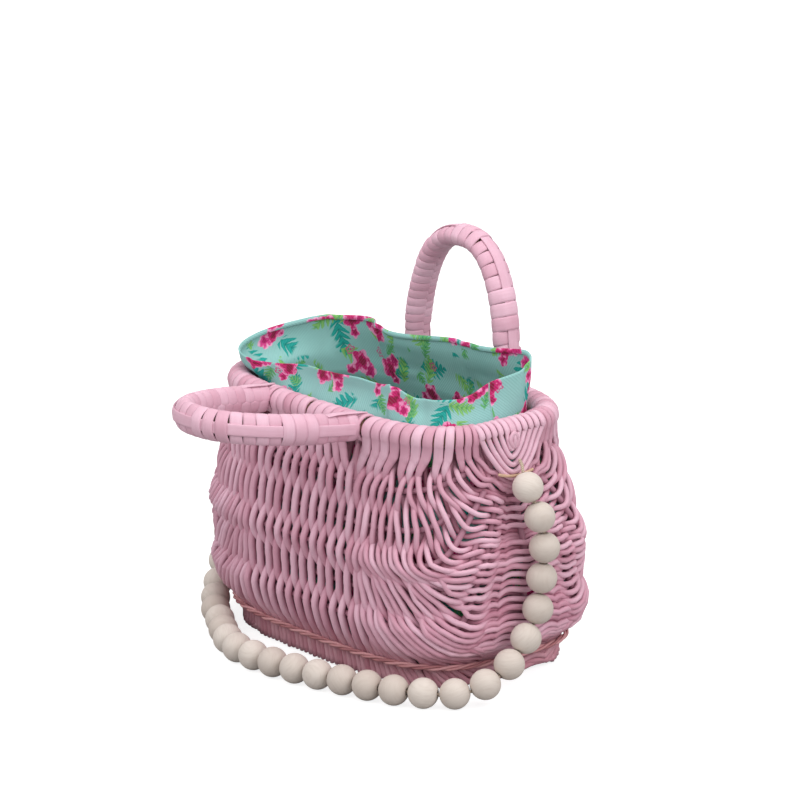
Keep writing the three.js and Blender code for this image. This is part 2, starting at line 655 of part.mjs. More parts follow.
const legShare = (HANDLE_SPACING / RIM_HALF_LENGTH) ** OUTLINE_EXPONENT;
const rimAtLeg = RIM_HALF_WIDTH * (1 - legShare) ** (1 / OUTLINE_EXPONENT);
const handlePieces = [['core', coreShape, CANE], ['wrap', wrapShape, WICKER], ['spine', spineShape, WICKER]];
for (const [name, side, angle] of [['front', -1, FRONT_ANGLE], ['rear', 1, REAR_ANGLE]]) {
  for (const [piece, shape, look] of handlePieces) {
    const geometry = shape.clone();
    geometry.rotateX(-side * angle * radians);
    geometry.translate(0, side * rimAtLeg, RIM_HEIGHT);
    add(`${name}_handle_${piece}`, geometry, look);
  }
}

// Liner: a bag that lies on the ribs, and a collar that stands up out of the rim
const liningInset = ribInset + RIB_RADIUS + RIB_FIT;
const collarHalf = [RIM_HALF_LENGTH, RIM_HALF_WIDTH].map((half) => half - RIM_WRAP_RADIUS - COLLAR_GAP);
const mouthInset = topRow[1] - collarHalf[0];
function linerInset(height) {
  const mouth = Math.max(0, (height - shoulderHeight) / (BODY_TOP - shoulderHeight));
  const foot = Math.max(0, 1 - height / liningRows.at(-2)[0]);
  return liningInset + mouth * (mouthInset - liningInset) + foot * LINER_FOOT_EASE;
}
const bagFloor = ribInset + RIB_RADIUS + RIB_FIT;
const bagHeights = (floor) => [...liningRows.slice(0, -1).map((row) => row[0]), floor];
const bagLoops = (thickness) => bagHeights(bagFloor + thickness).map((height) => (
  level(height, liningRows, linerInset(height) + thickness)));
add('liner_bag', cup(bagLoops(0), bagLoops(LINER_THICKNESS)), FABRIC);

const rimTop = RIM_HEIGHT + RIM_WRAP_RADIUS;
const collarFoot = BODY_TOP + FIT;
function collarSheet(thickness) {
  const base = measuredOutline(...collarHalf);
  return COLLAR_ROWS.map((share) => Array.from({ length: COLLAR_STEPS }, (_, i) => {
    const [x, y] = base.at((base.total * i) / COLLAR_STEPS);
    const [right, back] = [x / collarHalf[0], y / collarHalf[1]];
    const hem = rimTop + HEM_RISE + HEM_BACK * back + HEM_RIGHT * right;
    const height = collarFoot + share * (hem - collarFoot);
    const lean = Math.max(0, height - RIM_HEIGHT) * Math.tan(COLLAR_SLOPE * radians) + thickness;
    return [right * (collarHalf[0] - lean), back * (collarHalf[1] - lean), height];
  }));
}
add('liner_collar', sheetPair(collarSheet(0), collarSheet(LINER_THICKNESS), true), FABRIC);

// Strap: string and bored beads, each bead's bore in line with the string
const onFloor = ([x, y, z]) => new THREE.Vector3(x, y, Math.max(z, BEAD_RADIUS + FLOOR_GAP));
const course = new THREE.CatmullRomCurve3(STRAP_COURSE.map(onFloor), false, 'centripetal');
const courseLength = course.getLength();
course.arcLengthDivisions = COURSE_TABLE;
course.updateArcLengths();
const courseAt = (length) => course.getPointAt(Math.min(1, Math.max(0, length / courseLength))).toArray();

const beadFrames = (center, along) => {
  const side = unit(cross(along, Math.abs(along[2]) > 0.9 ? [1, 0, 0] : [0, 0, 1]));
  const up = cross(side, along);
  return Array.from({ length: BEAD_SIDES }, (_, i) => {
    const angle = (2 * Math.PI * i) / BEAD_SIDES;
    const out = side.map((value, k) => value * Math.cos(angle) + up[k] * Math.sin(angle));
    return { p: center, u: out, v: along };
  });
};
const boreHalf = Math.sqrt(BEAD_RADIUS ** 2 - BEAD_BORE_RADIUS ** 2);
const onBead = (angle) => [BEAD_RADIUS * Math.cos(angle), BEAD_RADIUS * Math.sin(angle)];
const beadRings = BEAD_RINGS.map((degrees) => onBead(degrees * radians));
const beadSection = [[BEAD_BORE_RADIUS, -boreHalf], ...beadRings, [BEAD_BORE_RADIUS, boreHalf]];

let length = FIRST_BEAD;
const threaded = TIP_SHARES.map((share) => courseAt(share * (FIRST_BEAD - BEAD_RADIUS)));
const lastBead = courseLength - CORD_TAIL - BEAD_RADIUS;
const apartFrom = (center) => Math.hypot(...minus(courseAt(length), center));
for (let i = 1; i <= BEAD_COUNT && length < lastBead; i += 1) {
  const center = courseAt(length);
  const along = unit(minus(courseAt(length + BEAD_RADIUS), courseAt(length - BEAD_RADIUS)));
  const name = `strap_bead_${String(i).padStart(2, '0')}`;
  add(name, sweep(beadFrames(center, along), beadSection, true), BEAD_WOOD);
  for (const end of [-boreHalf, boreHalf]) threaded.push(center.map((value, k) => value + along[k] * end));
  while (apartFrom(center) < 2 * BEAD_RADIUS + BEAD_GAP && length < courseLength) {
    length += COURSE_STEP;
  }
}

const bare = courseLength - CORD_TAIL;
for (let i = 0; i <= TAIL_STEPS; i += 1) threaded.push(courseAt(bare + (CORD_TAIL * i) / TAIL_STEPS));
const moved = (p, i) => i === 0 || Math.hypot(...minus(p, threaded[i - 1])) > COURSE_STEP;
const cordPoints = threaded.filter(moved);
add('strap_cord', sweep(framesAlong(cordPoints, [0, 1, 0]), round(CORD_RADIUS, CORD_SIDES), false), STRING);

const group = new THREE.Group();
group.name = 'wicker_basket_bag';
parts.forEach((mesh) => group.add(mesh));
export default group;
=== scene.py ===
# %% [markdown]
# # Wicker basket bag
# A small handbag of painted willow: a woven basket with two hooped handles that fold about the
# rim, a printed cloth liner and a strap of wooden beads. The solid model gives the frame, that
# is the pieces, their bodies and their places. This lesson dresses each of them with what a
# maker would use: single canes, turns of binding, sewn cloth, bored beads. All lengths are in
# millimetres until a mesh is made.

# %% Start
import math
import bpy
import numpy as np
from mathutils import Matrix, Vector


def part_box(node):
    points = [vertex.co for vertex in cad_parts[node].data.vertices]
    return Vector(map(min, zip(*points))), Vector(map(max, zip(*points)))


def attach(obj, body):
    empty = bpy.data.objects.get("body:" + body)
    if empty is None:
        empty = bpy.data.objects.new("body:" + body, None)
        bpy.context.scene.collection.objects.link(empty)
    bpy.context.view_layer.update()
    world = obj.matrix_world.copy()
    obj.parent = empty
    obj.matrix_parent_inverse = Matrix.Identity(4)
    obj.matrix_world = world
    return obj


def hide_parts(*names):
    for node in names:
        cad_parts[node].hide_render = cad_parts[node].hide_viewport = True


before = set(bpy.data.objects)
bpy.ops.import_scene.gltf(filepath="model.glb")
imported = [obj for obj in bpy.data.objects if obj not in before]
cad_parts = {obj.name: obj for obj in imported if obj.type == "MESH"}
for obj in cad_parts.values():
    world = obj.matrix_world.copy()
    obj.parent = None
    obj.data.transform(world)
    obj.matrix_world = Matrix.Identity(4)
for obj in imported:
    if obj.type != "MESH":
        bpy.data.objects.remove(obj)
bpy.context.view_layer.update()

MM = 0.001
rng = np.random.default_rng(7)

# %% [markdown]
# ## Camera
# The photograph was taken from the front right, a little above the rim, with a long lens. A
# camera could be pulled about by hand until the picture looks right. Here its angles come from
# a fit to the rim, the handles and the beads, and the lens follows from how many pixels one
# millimetre takes up at the basket.

# %% The fitted camera
# degrees round from the front, up from level and about the line of sight
AZIMUTH, ELEVATION, ROLL = np.radians([52.797, 15.208, -2.003])
DISTANCE = 2800
PIXELS_PER_MM = 1.518
PICTURE = 800
SENSOR = 36
ASIDE = 6.498
TARGET_HEIGHT = 163.512
CLIP_NEAR, CLIP_FAR = 0.1, 50

forward = np.array([-math.sin(AZIMUTH) * math.cos(ELEVATION),
                    math.cos(AZIMUTH) * math.cos(ELEVATION), -math.sin(ELEVATION)])
level_right = np.array([math.cos(AZIMUTH), math.sin(AZIMUTH), 0])
level_up = np.cross(level_right, forward)
right = math.cos(ROLL) * level_right + math.sin(ROLL) * level_up
up = math.cos(ROLL) * level_up - math.sin(ROLL) * level_right
eye = level_right * ASIDE + np.array([0, 0, TARGET_HEIGHT]) - forward * DISTANCE

lens = bpy.data.cameras.new("camera")
lens.sensor_width = SENSOR
lens.lens = PIXELS_PER_MM * DISTANCE / PICTURE * SENSOR
lens.clip_start = CLIP_NEAR
lens.clip_end = CLIP_FAR
camera = bpy.data.objects.new("camera", lens)
placed = np.eye(4)
placed[:3, :3] = np.stack([right, up, -forward], axis=1)
placed[:3, 3] = eye * MM
camera.matrix_world = placed.T.tolist()
bpy.context.scene.collection.objects.link(camera)
bpy.context.scene.camera = camera
print("camera at", np.round(eye), "with a lens of", round(lens.lens), "mm")

# %% [markdown]
# ## Rods from paths
# Nearly everything on this bag is a rod or a strip that follows a line: canes, ribs, turns of
# binding, string. Curves with a round profile could make them, but a strip that turns as it
# goes and is flat in one place and round in another is easier as a grid of points: rows along
# the line, columns round the section. The whole grid is worked out at once, as arrays.


# %% Lines and grids
def unit(v):
    """Each vector divided by its own length."""
    return v / np.maximum(np.linalg.norm(v, axis=-1, keepdims=True), 1e-9)


def quads(rows, columns, close_rows=False):
    """The corners of every cell of a closed grid: a point and its neighbours along and across."""
    index = np.arange(rows * columns).reshape(rows, columns)
    if close_rows:
        index = np.vstack([index, index[:1]])
    index = np.hstack([index, index[:, :1]])
    corners = index[:-1, :-1], index[:-1, 1:], index[1:, 1:], index[1:, :-1]
    return np.stack(corners, axis=-1).reshape(-1, 4)


def smooth(x):
    """Three x squared less two x cubed: from 0 to 1 with no corner at either end."""
    x = np.clip(x, 0, 1)
    return x * x * (3 - 2 * x)


def measured(line):
    """The length of a line from its start to each of its points."""
    return np.r_[0, np.cumsum(np.linalg.norm(np.diff(line, axis=0), axis=1))]


def by_length(line, lengths, wanted):
    """Points of a line at the wanted lengths from its start."""
    return np.stack([np.interp(wanted, lengths, line[:, k]) for k in range(3)], axis=-1)


print("a tube of 3 rows and 4 columns has", len(quads(3, 4)), "faces")


# %% [markdown]
# A cane's side that faces into the basket is painted darker, as painted shade, so each point also
# carries a tone. A second value, the grain, says where a point lies along and round its rod, so
# that streaks in the paint follow the rod round every bend.

# %% A rod along a path
# the tone taken off a rod's inward side: painted shade
SIDE_SHADE = 0.35
END_REACH = (0.75, 0.45)
END_SIZE = (0.4, 0.82)
GRAIN_ROUND = 4
GRAIN_APART = 900


def with_ends(path, wide, thick, out):
    """The path with two smaller sections beyond each end, which round it off.

    They stand 0.45 and 0.75 of the thickness away and have 0.82 and 0.4 of the size.
    """
    first, last = unit(path[0] - path[1]), unit(path[-1] - path[-2])
    before = [path[0] + first * (reach * thick[0]) for reach in END_REACH]
    after = [path[-1] + last * (reach * thick[-1]) for reach in END_REACH[::-1]]
    shrink = np.r_[END_SIZE, np.ones(len(path)), END_SIZE[::-1]]
    wide = np.r_[wide[0], wide[0], wide, wide[-1], wide[-1]] * shrink
    thick = np.r_[thick[0], thick[0], thick, thick[-1], thick[-1]] * shrink
    out = np.vstack([out[0], out[0], out, out[-1], out[-1]])
    return np.vstack([before, path, after]), wide, thick, out


def tube(path, out, wide, thick, sides=8, tone=0.5, square=2.0, closed=False):
    """A rod along path, with out the way its thickness faces.

    At angle a a point stands off the path by wide times cos a to the side and by thick times
    sin a outwards. Both are raised to 2 / square, which turns the round section squarer.
    """
    path = np.asarray(path, float)
    n = len(path)
    wide, thick = np.broadcast_to(wide, n).astype(float), np.broadcast_to(thick, n).astype(float)
    out = np.broadcast_to(out, path.shape).astype(float)
    shades = np.broadcast_to(tone, n).astype(float)
    if closed:
        along = unit(np.roll(path, -1, axis=0) - np.roll(path, 1, axis=0))
    else:
        path, wide, thick, out = with_ends(path, wide, thick, out)
        shades = np.r_[shades[0], shades[0], shades, shades[-1], shades[-1]]
        along = unit(np.gradient(path, axis=0))
    side = unit(np.cross(along, out))
    lift = np.cross(side, along)
    angle = np.linspace(0, 2 * math.pi, sides, endpoint=False) + math.pi / sides
    a = np.sign(np.cos(angle)) * np.abs(np.cos(angle)) ** (2 / square)
    b = np.sign(np.sin(angle)) * np.abs(np.sin(angle)) ** (2 / square)
    points = (path[:, None] + side[:, None] * (wide[:, None] * a)[..., None]
              + lift[:, None] * (thick[:, None] * b)[..., None])
    grain = np.stack(np.broadcast_arrays(measured(path)[:, None], a * GRAIN_ROUND,
                                         b * GRAIN_ROUND + shades.mean() * GRAIN_APART), axis=-1)
    count = len(path)
    caps = [] if closed else [np.arange(sides)[::-1], (count - 1) * sides + np.arange(sides)]
    return {"points": points.reshape(-1, 3), "quads": quads(count, sides, close_rows=closed), "caps": caps,
            "tone": (shades[:, None] - SIDE_SHADE * np.clip(-b, 0, 1)).ravel(), "grain": grain.reshape(-1, 3)}


print("a straight rod of two sections has", len(tube([[0, 0, 0], [0, 0, 9]], [1, 0, 0], 2, 2)["points"]),
      "points with its rounded ends")


# %% [markdown]
# ## Pieces from rods
# Rods that belong together, such as all turns of one binding, are joined in one mesh. Whole
# arrays go into it at once: first the points, then the corners, then where each face starts.
# The piece then rides on the body that carries it and takes the place of its solid.

# %% One object from many rods
LOW_TOP, LOW_DEPTH = 34, 18


def fill_mesh(mesh, points, faces, caps):
    """Puts four-cornered faces and end faces with any number of corners into a mesh."""
    corners = np.concatenate([faces.ravel(), *caps]) if caps else faces.ravel()
    sizes = np.concatenate([np.full(len(faces), 4), [len(cap) for cap in caps]]).astype(int)
    mesh.vertices.add(len(points))
    mesh.vertices.foreach_set("co", (points * MM).ravel())
    mesh.loops.add(len(corners))
    mesh.loops.foreach_set("vertex_index", corners.astype(np.int32))
    mesh.polygons.add(len(sizes))
    mesh.polygons.foreach_set("loop_start", np.r_[0, np.cumsum(sizes)[:-1]].astype(np.int32))
    mesh.polygons.foreach_set("use_smooth", np.ones(len(sizes), bool))
    mesh.update(calc_edges=True)
    return corners.astype(int)


def piece(name, parts, material, body="basket", replaces=(), uv=None):
    """One object from many parts; low runs from 0 at LOW_TOP to 1 a LOW_DEPTH further down."""
    start = 0
    points, faces, caps, tone, grain = [], [], [], [], []
    for part in parts:
        points.append(part["points"])
        faces.append(part["quads"] + start)
        caps += [cap + start for cap in part.get("caps", [])]
        tone.append(part.get("tone", np.full(len(part["points"]), 0.5)))
        grain.append(part.get("grain", part["points"]))
        start += len(part["points"])
    points, faces = np.vstack(points), np.vstack(faces)
    mesh = bpy.data.meshes.new(name)
    corners = fill_mesh(mesh, points, faces, caps)
    shade = mesh.attributes.new("tone", "FLOAT", "POINT")
    shade.data.foreach_set("value", np.concatenate(tone).astype(np.float32))
    streak = mesh.attributes.new("grain", "FLOAT_VECTOR", "POINT")
    streak.data.foreach_set("vector", (np.vstack(grain) * MM).astype(np.float32).ravel())
    low = mesh.attributes.new("low", "FLOAT", "POINT")
    low.data.foreach_set("value", np.clip((LOW_TOP - points[:, 2]) / LOW_DEPTH, 0, 1).astype(np.float32))
    if uv is not None:
        layer = mesh.uv_layers.new(name="cloth")
        layer.data.foreach_set("uv", uv[corners].astype(np.float32).ravel())
    mesh.materials.append(material)
    made = bpy.data.objects.new(name, mesh)
    bpy.context.scene.collection.objects.link(made)
    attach(made, body)
    if replaces:
        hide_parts(*replaces)
    print(f"{name}: {len(parts)} parts, {len(mesh.polygons)} faces")
    return made


print("the salmon tint begins", LOW_TOP, "mm up and is full at", LOW_TOP - LOW_DEPTH)


# %% [markdown]
# ## Shader nodes in words
# A material is a net of nodes. These helpers make one node each; an input may be a number, a
# colour or the output of another node, and in the last case the two are linked.


# %% Node helpers
def plug(tree, made, inputs):
    """Sets each named input of a node, or links it."""
    for name, value in (inputs or {}).items():
        if isinstance(value, bpy.types.NodeSocket):
            tree.links.new(value, made.inputs[name])
        else:
            made.inputs[name].default_value = value
    return made


def node(tree, kind, inputs=None, **settings):
    """A new node with its settings made and its inputs set or linked."""
    made = tree.nodes.new(kind)
    for name, value in settings.items():
        setattr(made, name, value)
    return plug(tree, made, inputs)


def maths(tree, operation, *values):
    """One sum, product or other operation on numbers."""
    return node(tree, "ShaderNodeMath", dict(enumerate(values)), operation=operation).outputs[0]


def mixed(tree, factor, a, b, blend="MIX"):
    """Colour a where the factor is 0 and b where it is 1."""
    made = node(tree, "ShaderNodeMix", {0: factor, 6: a, 7: b}, data_type="RGBA", blend_type=blend)
    return made.outputs[2]


def spread(tree, value, low, high, to_low=0.0, to_high=1.0):
    """A value's range from low to high stretched to another range, and cut off outside it."""
    inputs = {"Value": value, "From Min": low, "From Max": high, "To Min": to_low, "To Max": to_high}
    return node(tree, "ShaderNodeMapRange", inputs, clamp=True).outputs[0]


def attribute(tree, name):
    """A value that was stored with the mesh's points, by its name."""
    return node(tree, "ShaderNodeAttribute", attribute_name=name)


def noise(tree, place, scale, detail):
    """Soft spots, scale of them to one unit of place, with detail finer layers on top."""
    return node(tree, "ShaderNodeTexNoise", {"Vector": place, "Scale": scale, "Detail": detail})


def vector(tree, operation, *values):
    """One operation on whole vectors, number by number."""
    return node(tree, "ShaderNodeVectorMath", dict(enumerate(values)), operation=operation).outputs[0]


def new_material(name, roughness, **sockets):
    """A material, its tree and its shader, with the named inputs of the shader set."""
    made = bpy.data.materials.new(name)
    made.use_nodes = True
    tree = made.node_tree
    shader = tree.nodes["Principled BSDF"]
    shader.inputs["Roughness"].default_value = roughness
    for socket, value in sockets.items():
        shader.inputs[socket.replace("_", " ")].default_value = value
    return made, tree, shader


def bump(tree, height, strength, distance):
    """A normal tilted by the slope of height, where 1 stands for this distance in metres."""
    inputs = {"Height": height, "Strength": strength, "Distance": distance}
    return node(tree, "ShaderNodeBump", inputs).outputs["Normal"]


print("materials before the first finish:", len(bpy.data.materials))


# %% [markdown]
# An effect that several materials share is a group, built once, with named inputs and outputs.


# %% Group helpers
def new_group(name, inputs, outputs):
    """An empty group with named sockets: its tree, its entry and its result."""
    tree = bpy.data.node_groups.new(name, "ShaderNodeTree")
    for label, kind in inputs:
        tree.interface.new_socket(label, in_out="INPUT", socket_type=kind)
    for label, kind in outputs:
        tree.interface.new_socket(label, in_out="OUTPUT", socket_type=kind)
    return tree, tree.nodes.new("NodeGroupInput"), tree.nodes.new("NodeGroupOutput")


def use_group(tree, group, inputs=None):
    """A node that stands for a whole group."""
    made = tree.nodes.new("ShaderNodeGroup")
    made.node_tree = group
    return plug(tree, made, inputs)


print("groups before the first effect:", len(bpy.data.node_groups))


# %% [markdown]
# ## Painted willow
# On the real bag each rod took the paint in its own way: some are paler, long streaks show
# where the brush ran, and on worn spots the bark's brown comes through. One flat pink would
# look like plastic. So the group reads each rod's tone and grain, and gives a shade, a streak,
# the bare spots and a fine height.

# %% The strand group
STREAKS = (60, 900, 900)
PATCHES = (90, 60, 60)
TONE_WEIGHT, PATCH_WEIGHT = 0.6, 0.4
STREAK_HEIGHT, PATCH_HEIGHT = 0.7, 0.3
BARE_FROM, BARE_TO = 0.66, 0.78
FLOAT = "NodeSocketFloat"
STRAND_OUTPUTS = [("Shade", FLOAT), ("Streak", FLOAT), ("Bare", FLOAT), ("Height", FLOAT)]

strand, _, result = new_group("strand", [], STRAND_OUTPUTS)
place = attribute(strand, "grain").outputs["Vector"]
along_rod = vector(strand, "MULTIPLY", place, STREAKS)
streak = noise(strand, along_rod, 1.0, 4.0).outputs["Fac"]
patch = vector(strand, "MULTIPLY", place, PATCHES)
patches = noise(strand, patch, 1.0, 3.0).outputs["Fac"]
own_tone = maths(strand, "MULTIPLY", attribute(strand, "tone").outputs["Fac"], TONE_WEIGHT)
shade = maths(strand, "ADD", own_tone, maths(strand, "MULTIPLY", patches, PATCH_WEIGHT))
bare = spread(strand, patches, BARE_FROM, BARE_TO)
height = maths(strand, "ADD", maths(strand, "MULTIPLY", streak, STREAK_HEIGHT),
               maths(strand, "MULTIPLY", patches, PATCH_HEIGHT))
for label, value in (("Shade", shade), ("Streak", streak), ("Bare", bare), ("Height", height)):
    strand.links.new(value, result.inputs[label])
print("group", strand.name, "has", len(strand.nodes), "nodes")

# %% [markdown]
# Three pinks make the colour: the deep one is painted shade in the crevices, the dark and the
# light one are the paint on the rods. Near the floor the colour turns to salmon, as on the foot
# in the photograph: the foot's warmer colour together with painted shade.

# %% Willow paint
# multiplied in towards the floor: the foot's warmer salmon colour together with painted shade
SALMON = (0.86, 0.66, 0.60, 1)
SALMON_SHARE = 0.55
DARK_AT, LIGHT_AT = 0.2, 0.8
CREVICE_FROM, CREVICE_TO = -0.15, 0.3
BRUSH_FROM, BRUSH_TO, BRUSH_SHARE = 0.3, 0.75, 0.2
WILLOW_BUMP, WILLOW_RELIEF = 0.35, 0.0006


def willow(name, deep, dark, light, bare, bare_share, roughness):
    """Pinks by shade, the deep one painted shade; darker along streaks, bare in spots, times salmon low down.
    """
    made, tree, shader = new_material(name, roughness, Specular_IOR_Level=0.3)
    look = use_group(tree, strand)
    paint = mixed(tree, spread(tree, look.outputs["Shade"], DARK_AT, LIGHT_AT), dark, light)
    paint = mixed(tree, spread(tree, look.outputs["Shade"], CREVICE_FROM, CREVICE_TO), deep, paint)
    streaks = spread(tree, look.outputs["Streak"], BRUSH_FROM, BRUSH_TO, 0.0, BRUSH_SHARE)
    brushed = mixed(tree, streaks, paint, dark)
    thin = maths(tree, "MULTIPLY", look.outputs["Bare"], bare_share)
    worn = mixed(tree, thin, brushed, bare)
    salmon = maths(tree, "MULTIPLY", attribute(tree, "low").outputs["Fac"], SALMON_SHARE)
    tree.links.new(mixed(tree, salmon, worn, SALMON, "MULTIPLY"), shader.inputs["Base Color"])
    raised = bump(tree, look.outputs["Height"], WILLOW_BUMP, WILLOW_RELIEF)
    tree.links.new(raised, shader.inputs["Normal"])
    return made


print("salmon takes up", round(100 * SALMON_SHARE), "per cent of the paint at the floor")


# %% The four willow materials
# the deep pink is painted shade where a rod's tone is lowest, in crevices and deep down
PINK_CREVICE_SHADE = (0.25, 0.075, 0.115, 1)
PINK_DARK = (0.54, 0.235, 0.318, 1)
PINK_LIGHT = (0.78, 0.50, 0.605, 1)
SHADED_PINKS = (0.32, 0.13, 0.18, 1), (0.50, 0.25, 0.33, 1)
CORD_PINKS = (0.50, 0.23, 0.25, 1), (0.74, 0.42, 0.46, 1)
BROWN = (0.45, 0.24, 0.20, 1)
# the first tan is the cane's painted shade in crevices
CANE_TANS = (0.3, 0.17, 0.1, 1), (0.50, 0.32, 0.21, 1), (0.66, 0.45, 0.31, 1)
CANE_BROWN = (0.36, 0.2, 0.12, 1)

painted = willow("painted_willow", PINK_CREVICE_SHADE, PINK_DARK, PINK_LIGHT, BROWN, 0.25, 0.55)
# the ribs lie inside the weave and get darker pinks: painted shade
inner = willow("painted_willow_shaded", PINK_CREVICE_SHADE, *SHADED_PINKS, BROWN, 0.35, 0.6)
border_look = willow("foot_cord_willow", PINK_CREVICE_SHADE, *CORD_PINKS, BROWN, 0.5, 0.6)
cane = willow("bare_cane", *CANE_TANS, CANE_BROWN, 0.5, 0.5)
print("willow finishes:", painted.name, inner.name, border_look.name, cane.name)

# %% [markdown]
# ## Bead wood and string
# The beads are matt beech, pale and a little grey, each turned from its own bit of wood. A
# noise that is squeezed in one direction gives growth rings, and each bead's grain is tilted
# its own way. The string is two-ply: a sine that runs slantwise round it gives the twist.

# %% Bead wood
BEECH_DARK, BEECH_PALE, BEECH_RING = (0.52, 0.44, 0.39, 1), (0.74, 0.67, 0.61, 1), (0.50, 0.41, 0.35, 1)
GROWTH_RINGS = (140, 140, 900)
RING_FROM, RING_TO, RING_SHARE = 0.45, 0.75, 0.35

wood, tree, shader = new_material("bead_wood", 0.62, Specular_IOR_Level=0.3)
place = attribute(tree, "grain").outputs["Vector"]
rings = vector(tree, "MULTIPLY", place, GROWTH_RINGS)
ring = noise(tree, rings, 1.0, 5.0).outputs["Fac"]
cloud = noise(tree, place, 70.0, 2.0).outputs["Fac"]
own_tone = maths(tree, "MULTIPLY", attribute(tree, "tone").outputs["Fac"], TONE_WEIGHT)
body_tone = maths(tree, "ADD", own_tone, maths(tree, "MULTIPLY", cloud, PATCH_WEIGHT))
pale = mixed(tree, body_tone, BEECH_DARK, BEECH_PALE)
grained = mixed(tree, spread(tree, ring, RING_FROM, RING_TO, 0.0, RING_SHARE), pale, BEECH_RING)
tree.links.new(grained, shader.inputs["Base Color"])
tree.links.new(bump(tree, ring, 0.12, 0.0003), shader.inputs["Normal"])
print(wood.name, "has", len(tree.nodes), "nodes")

# %% String
FLAX_DARK, FLAX_PALE = (0.36, 0.27, 0.2, 1), (0.62, 0.5, 0.4, 1)
TWIST = 4500

string, tree, shader = new_material("string", 0.85, Specular_IOR_Level=0.2)
place = attribute(tree, "grain").outputs["Vector"]
slanted = {0: place, 1: (1, 0.25, 0)}
lay = node(tree, "ShaderNodeVectorMath", slanted, operation="DOT_PRODUCT").outputs["Value"]
ply = maths(tree, "SINE", maths(tree, "MULTIPLY", lay, TWIST))
# darker where the plies meet: painted shade in the grooves
tree.links.new(mixed(tree, spread(tree, ply, -1, 1), FLAX_DARK, FLAX_PALE), shader.inputs["Base Color"])
tree.links.new(bump(tree, ply, 0.5, 0.0004), shader.inputs["Normal"])
print(string.name, "has a twist every", round(2000 * math.pi / TWIST, 1), "mm")

# %% [markdown]
# ## The basket's surface
# The real basket has no hard edge anywhere: its level sections are between an oval and an
# oblong, and its courses, the lines that the ribs follow, climb to the knots at the two ends.
# A sculpted mesh could be pulled into this shape. A formula keeps it true to the frame and
# gives a place for every cane, so one quarter of the basket is worked out as a grid: rows are
# courses, columns are shares of a course's length.

# %% Sizes of the basket at every height
SQUARENESS = 3.5
BODY_TOP = 157.7
# height, half length and half width: top edge, five ribs, the step above the foot, floor
PROFILE = np.array([[157.7, 124.5, 64.5], [131, 133.5, 73.3], [106, 139, 77.5], [86, 144.5, 82.8],
                    [64, 140.5, 80], [44, 144, 82.8], [28, 139, 79], [18, 124, 72], [0, 121, 70]])
FINE_STEPS = 317
BLUR = 8

fine = np.linspace(0, BODY_TOP, FINE_STEPS)
blur = np.exp(-np.linspace(-2, 2, 2 * BLUR + 1) ** 2)
blur /= blur.sum()
smoothed = []
for column in (1, 2):
    sizes = np.interp(fine, PROFILE[::-1, 0], PROFILE[::-1, column])
    below = 2 * sizes[0] - sizes[BLUR:0:-1]
    above = 2 * sizes[-1] - sizes[-2:-BLUR - 2:-1]
    smoothed.append(np.convolve(np.r_[below, sizes, above], blur, mode="valid"))


def sizes_at(height):
    """Half the length and half the width of the basket at a height."""
    return np.interp(height, fine, smoothed[0]), np.interp(height, fine, smoothed[1])


print("half length and width at the floor and at the top:", np.round(sizes_at(np.array([0, BODY_TOP])), 1))

# %% [markdown]
# The first course is the body's top edge, the next five are the ribs, then come the foot's edge
# and the keel under the middle. Each is given by its height in the middle of the side and by
# the share of the width it keeps.

# %% Courses from knot to knot
# height in the middle of the side, and the share of the width that is kept
COURSES = [(157.7, 1), (131, 1), (106, 1), (86, 1), (64, 1), (44, 1), (0, 1), (0, 0)]
RIM, FOOT_EDGE, KEEL = 0, 6, 7
KNOT = np.array([124.5, 0, 157.7])
FLOOR_RISE, CLIMB, TURN = 0.35, 0.62, 12
LINE_POINTS = 900


def course_line(level, across_share):
    """A quarter of a course, from the middle of the front to the right-hand knot.

    Length is sin a and width cos a, both to the power 2 / SQUARENESS. A point falls from the
    rim to the course's level as it gets away from the knot. CLIMB says how soon, and lower
    courses get there nearer to the end.
    """
    angle = np.linspace(0, math.pi / 2, LINE_POINTS)
    across = np.clip(np.cos(angle), 0, 1) ** (2 / SQUARENESS)
    along = np.sin(angle) ** (2 / SQUARENESS)
    reach = across / (FLOOR_RISE + (1 - FLOOR_RISE) * level / BODY_TOP)
    near = reach / (1 + reach ** TURN) ** (1 / TURN)
    fallen = 1 - (1 - near) ** CLIMB
    height = BODY_TOP - (BODY_TOP - level) * fallen
    half_length, half_width = sizes_at(height)
    return np.stack([along * half_length, -across_share * across * half_width, height], axis=1)


print("a course of level 86 starts at", np.round(course_line(86, 1)[0]), "and ends at the knot,",
      np.round(course_line(86, 1)[-1]))


# %% The surface as a grid
ROWS_PER_COURSE = 8
COLUMNS = 240
INSIDE_POINT = np.array([0, 0, 80])

row_course = np.linspace(0, len(COURSES) - 1, (len(COURSES) - 1) * ROWS_PER_COURSE + 1)
surface = np.empty((len(row_course), COLUMNS, 3))
row_length = np.empty(len(row_course))
for i, t in enumerate(row_course):
    low = min(int(t), len(COURSES) - 2)
    (level_a, share_a), (level_b, share_b) = COURSES[low], COURSES[low + 1]
    level = level_a + (t - low) * (level_b - level_a)
    line = course_line(level, share_a + (t - low) * (share_b - share_a))
    lengths = measured(line)
    row_length[i] = lengths[-1]
    surface[i] = by_length(line, lengths, np.linspace(0, lengths[-1], COLUMNS))
normal = unit(np.cross(np.gradient(surface, axis=0), np.gradient(surface, axis=1)))
flip = np.sign(np.sum(normal * (surface - INSIDE_POINT), axis=-1, keepdims=True))
normal = normal * np.where(flip == 0, 1, flip)
normal[:, -1] = normal[:, -2]


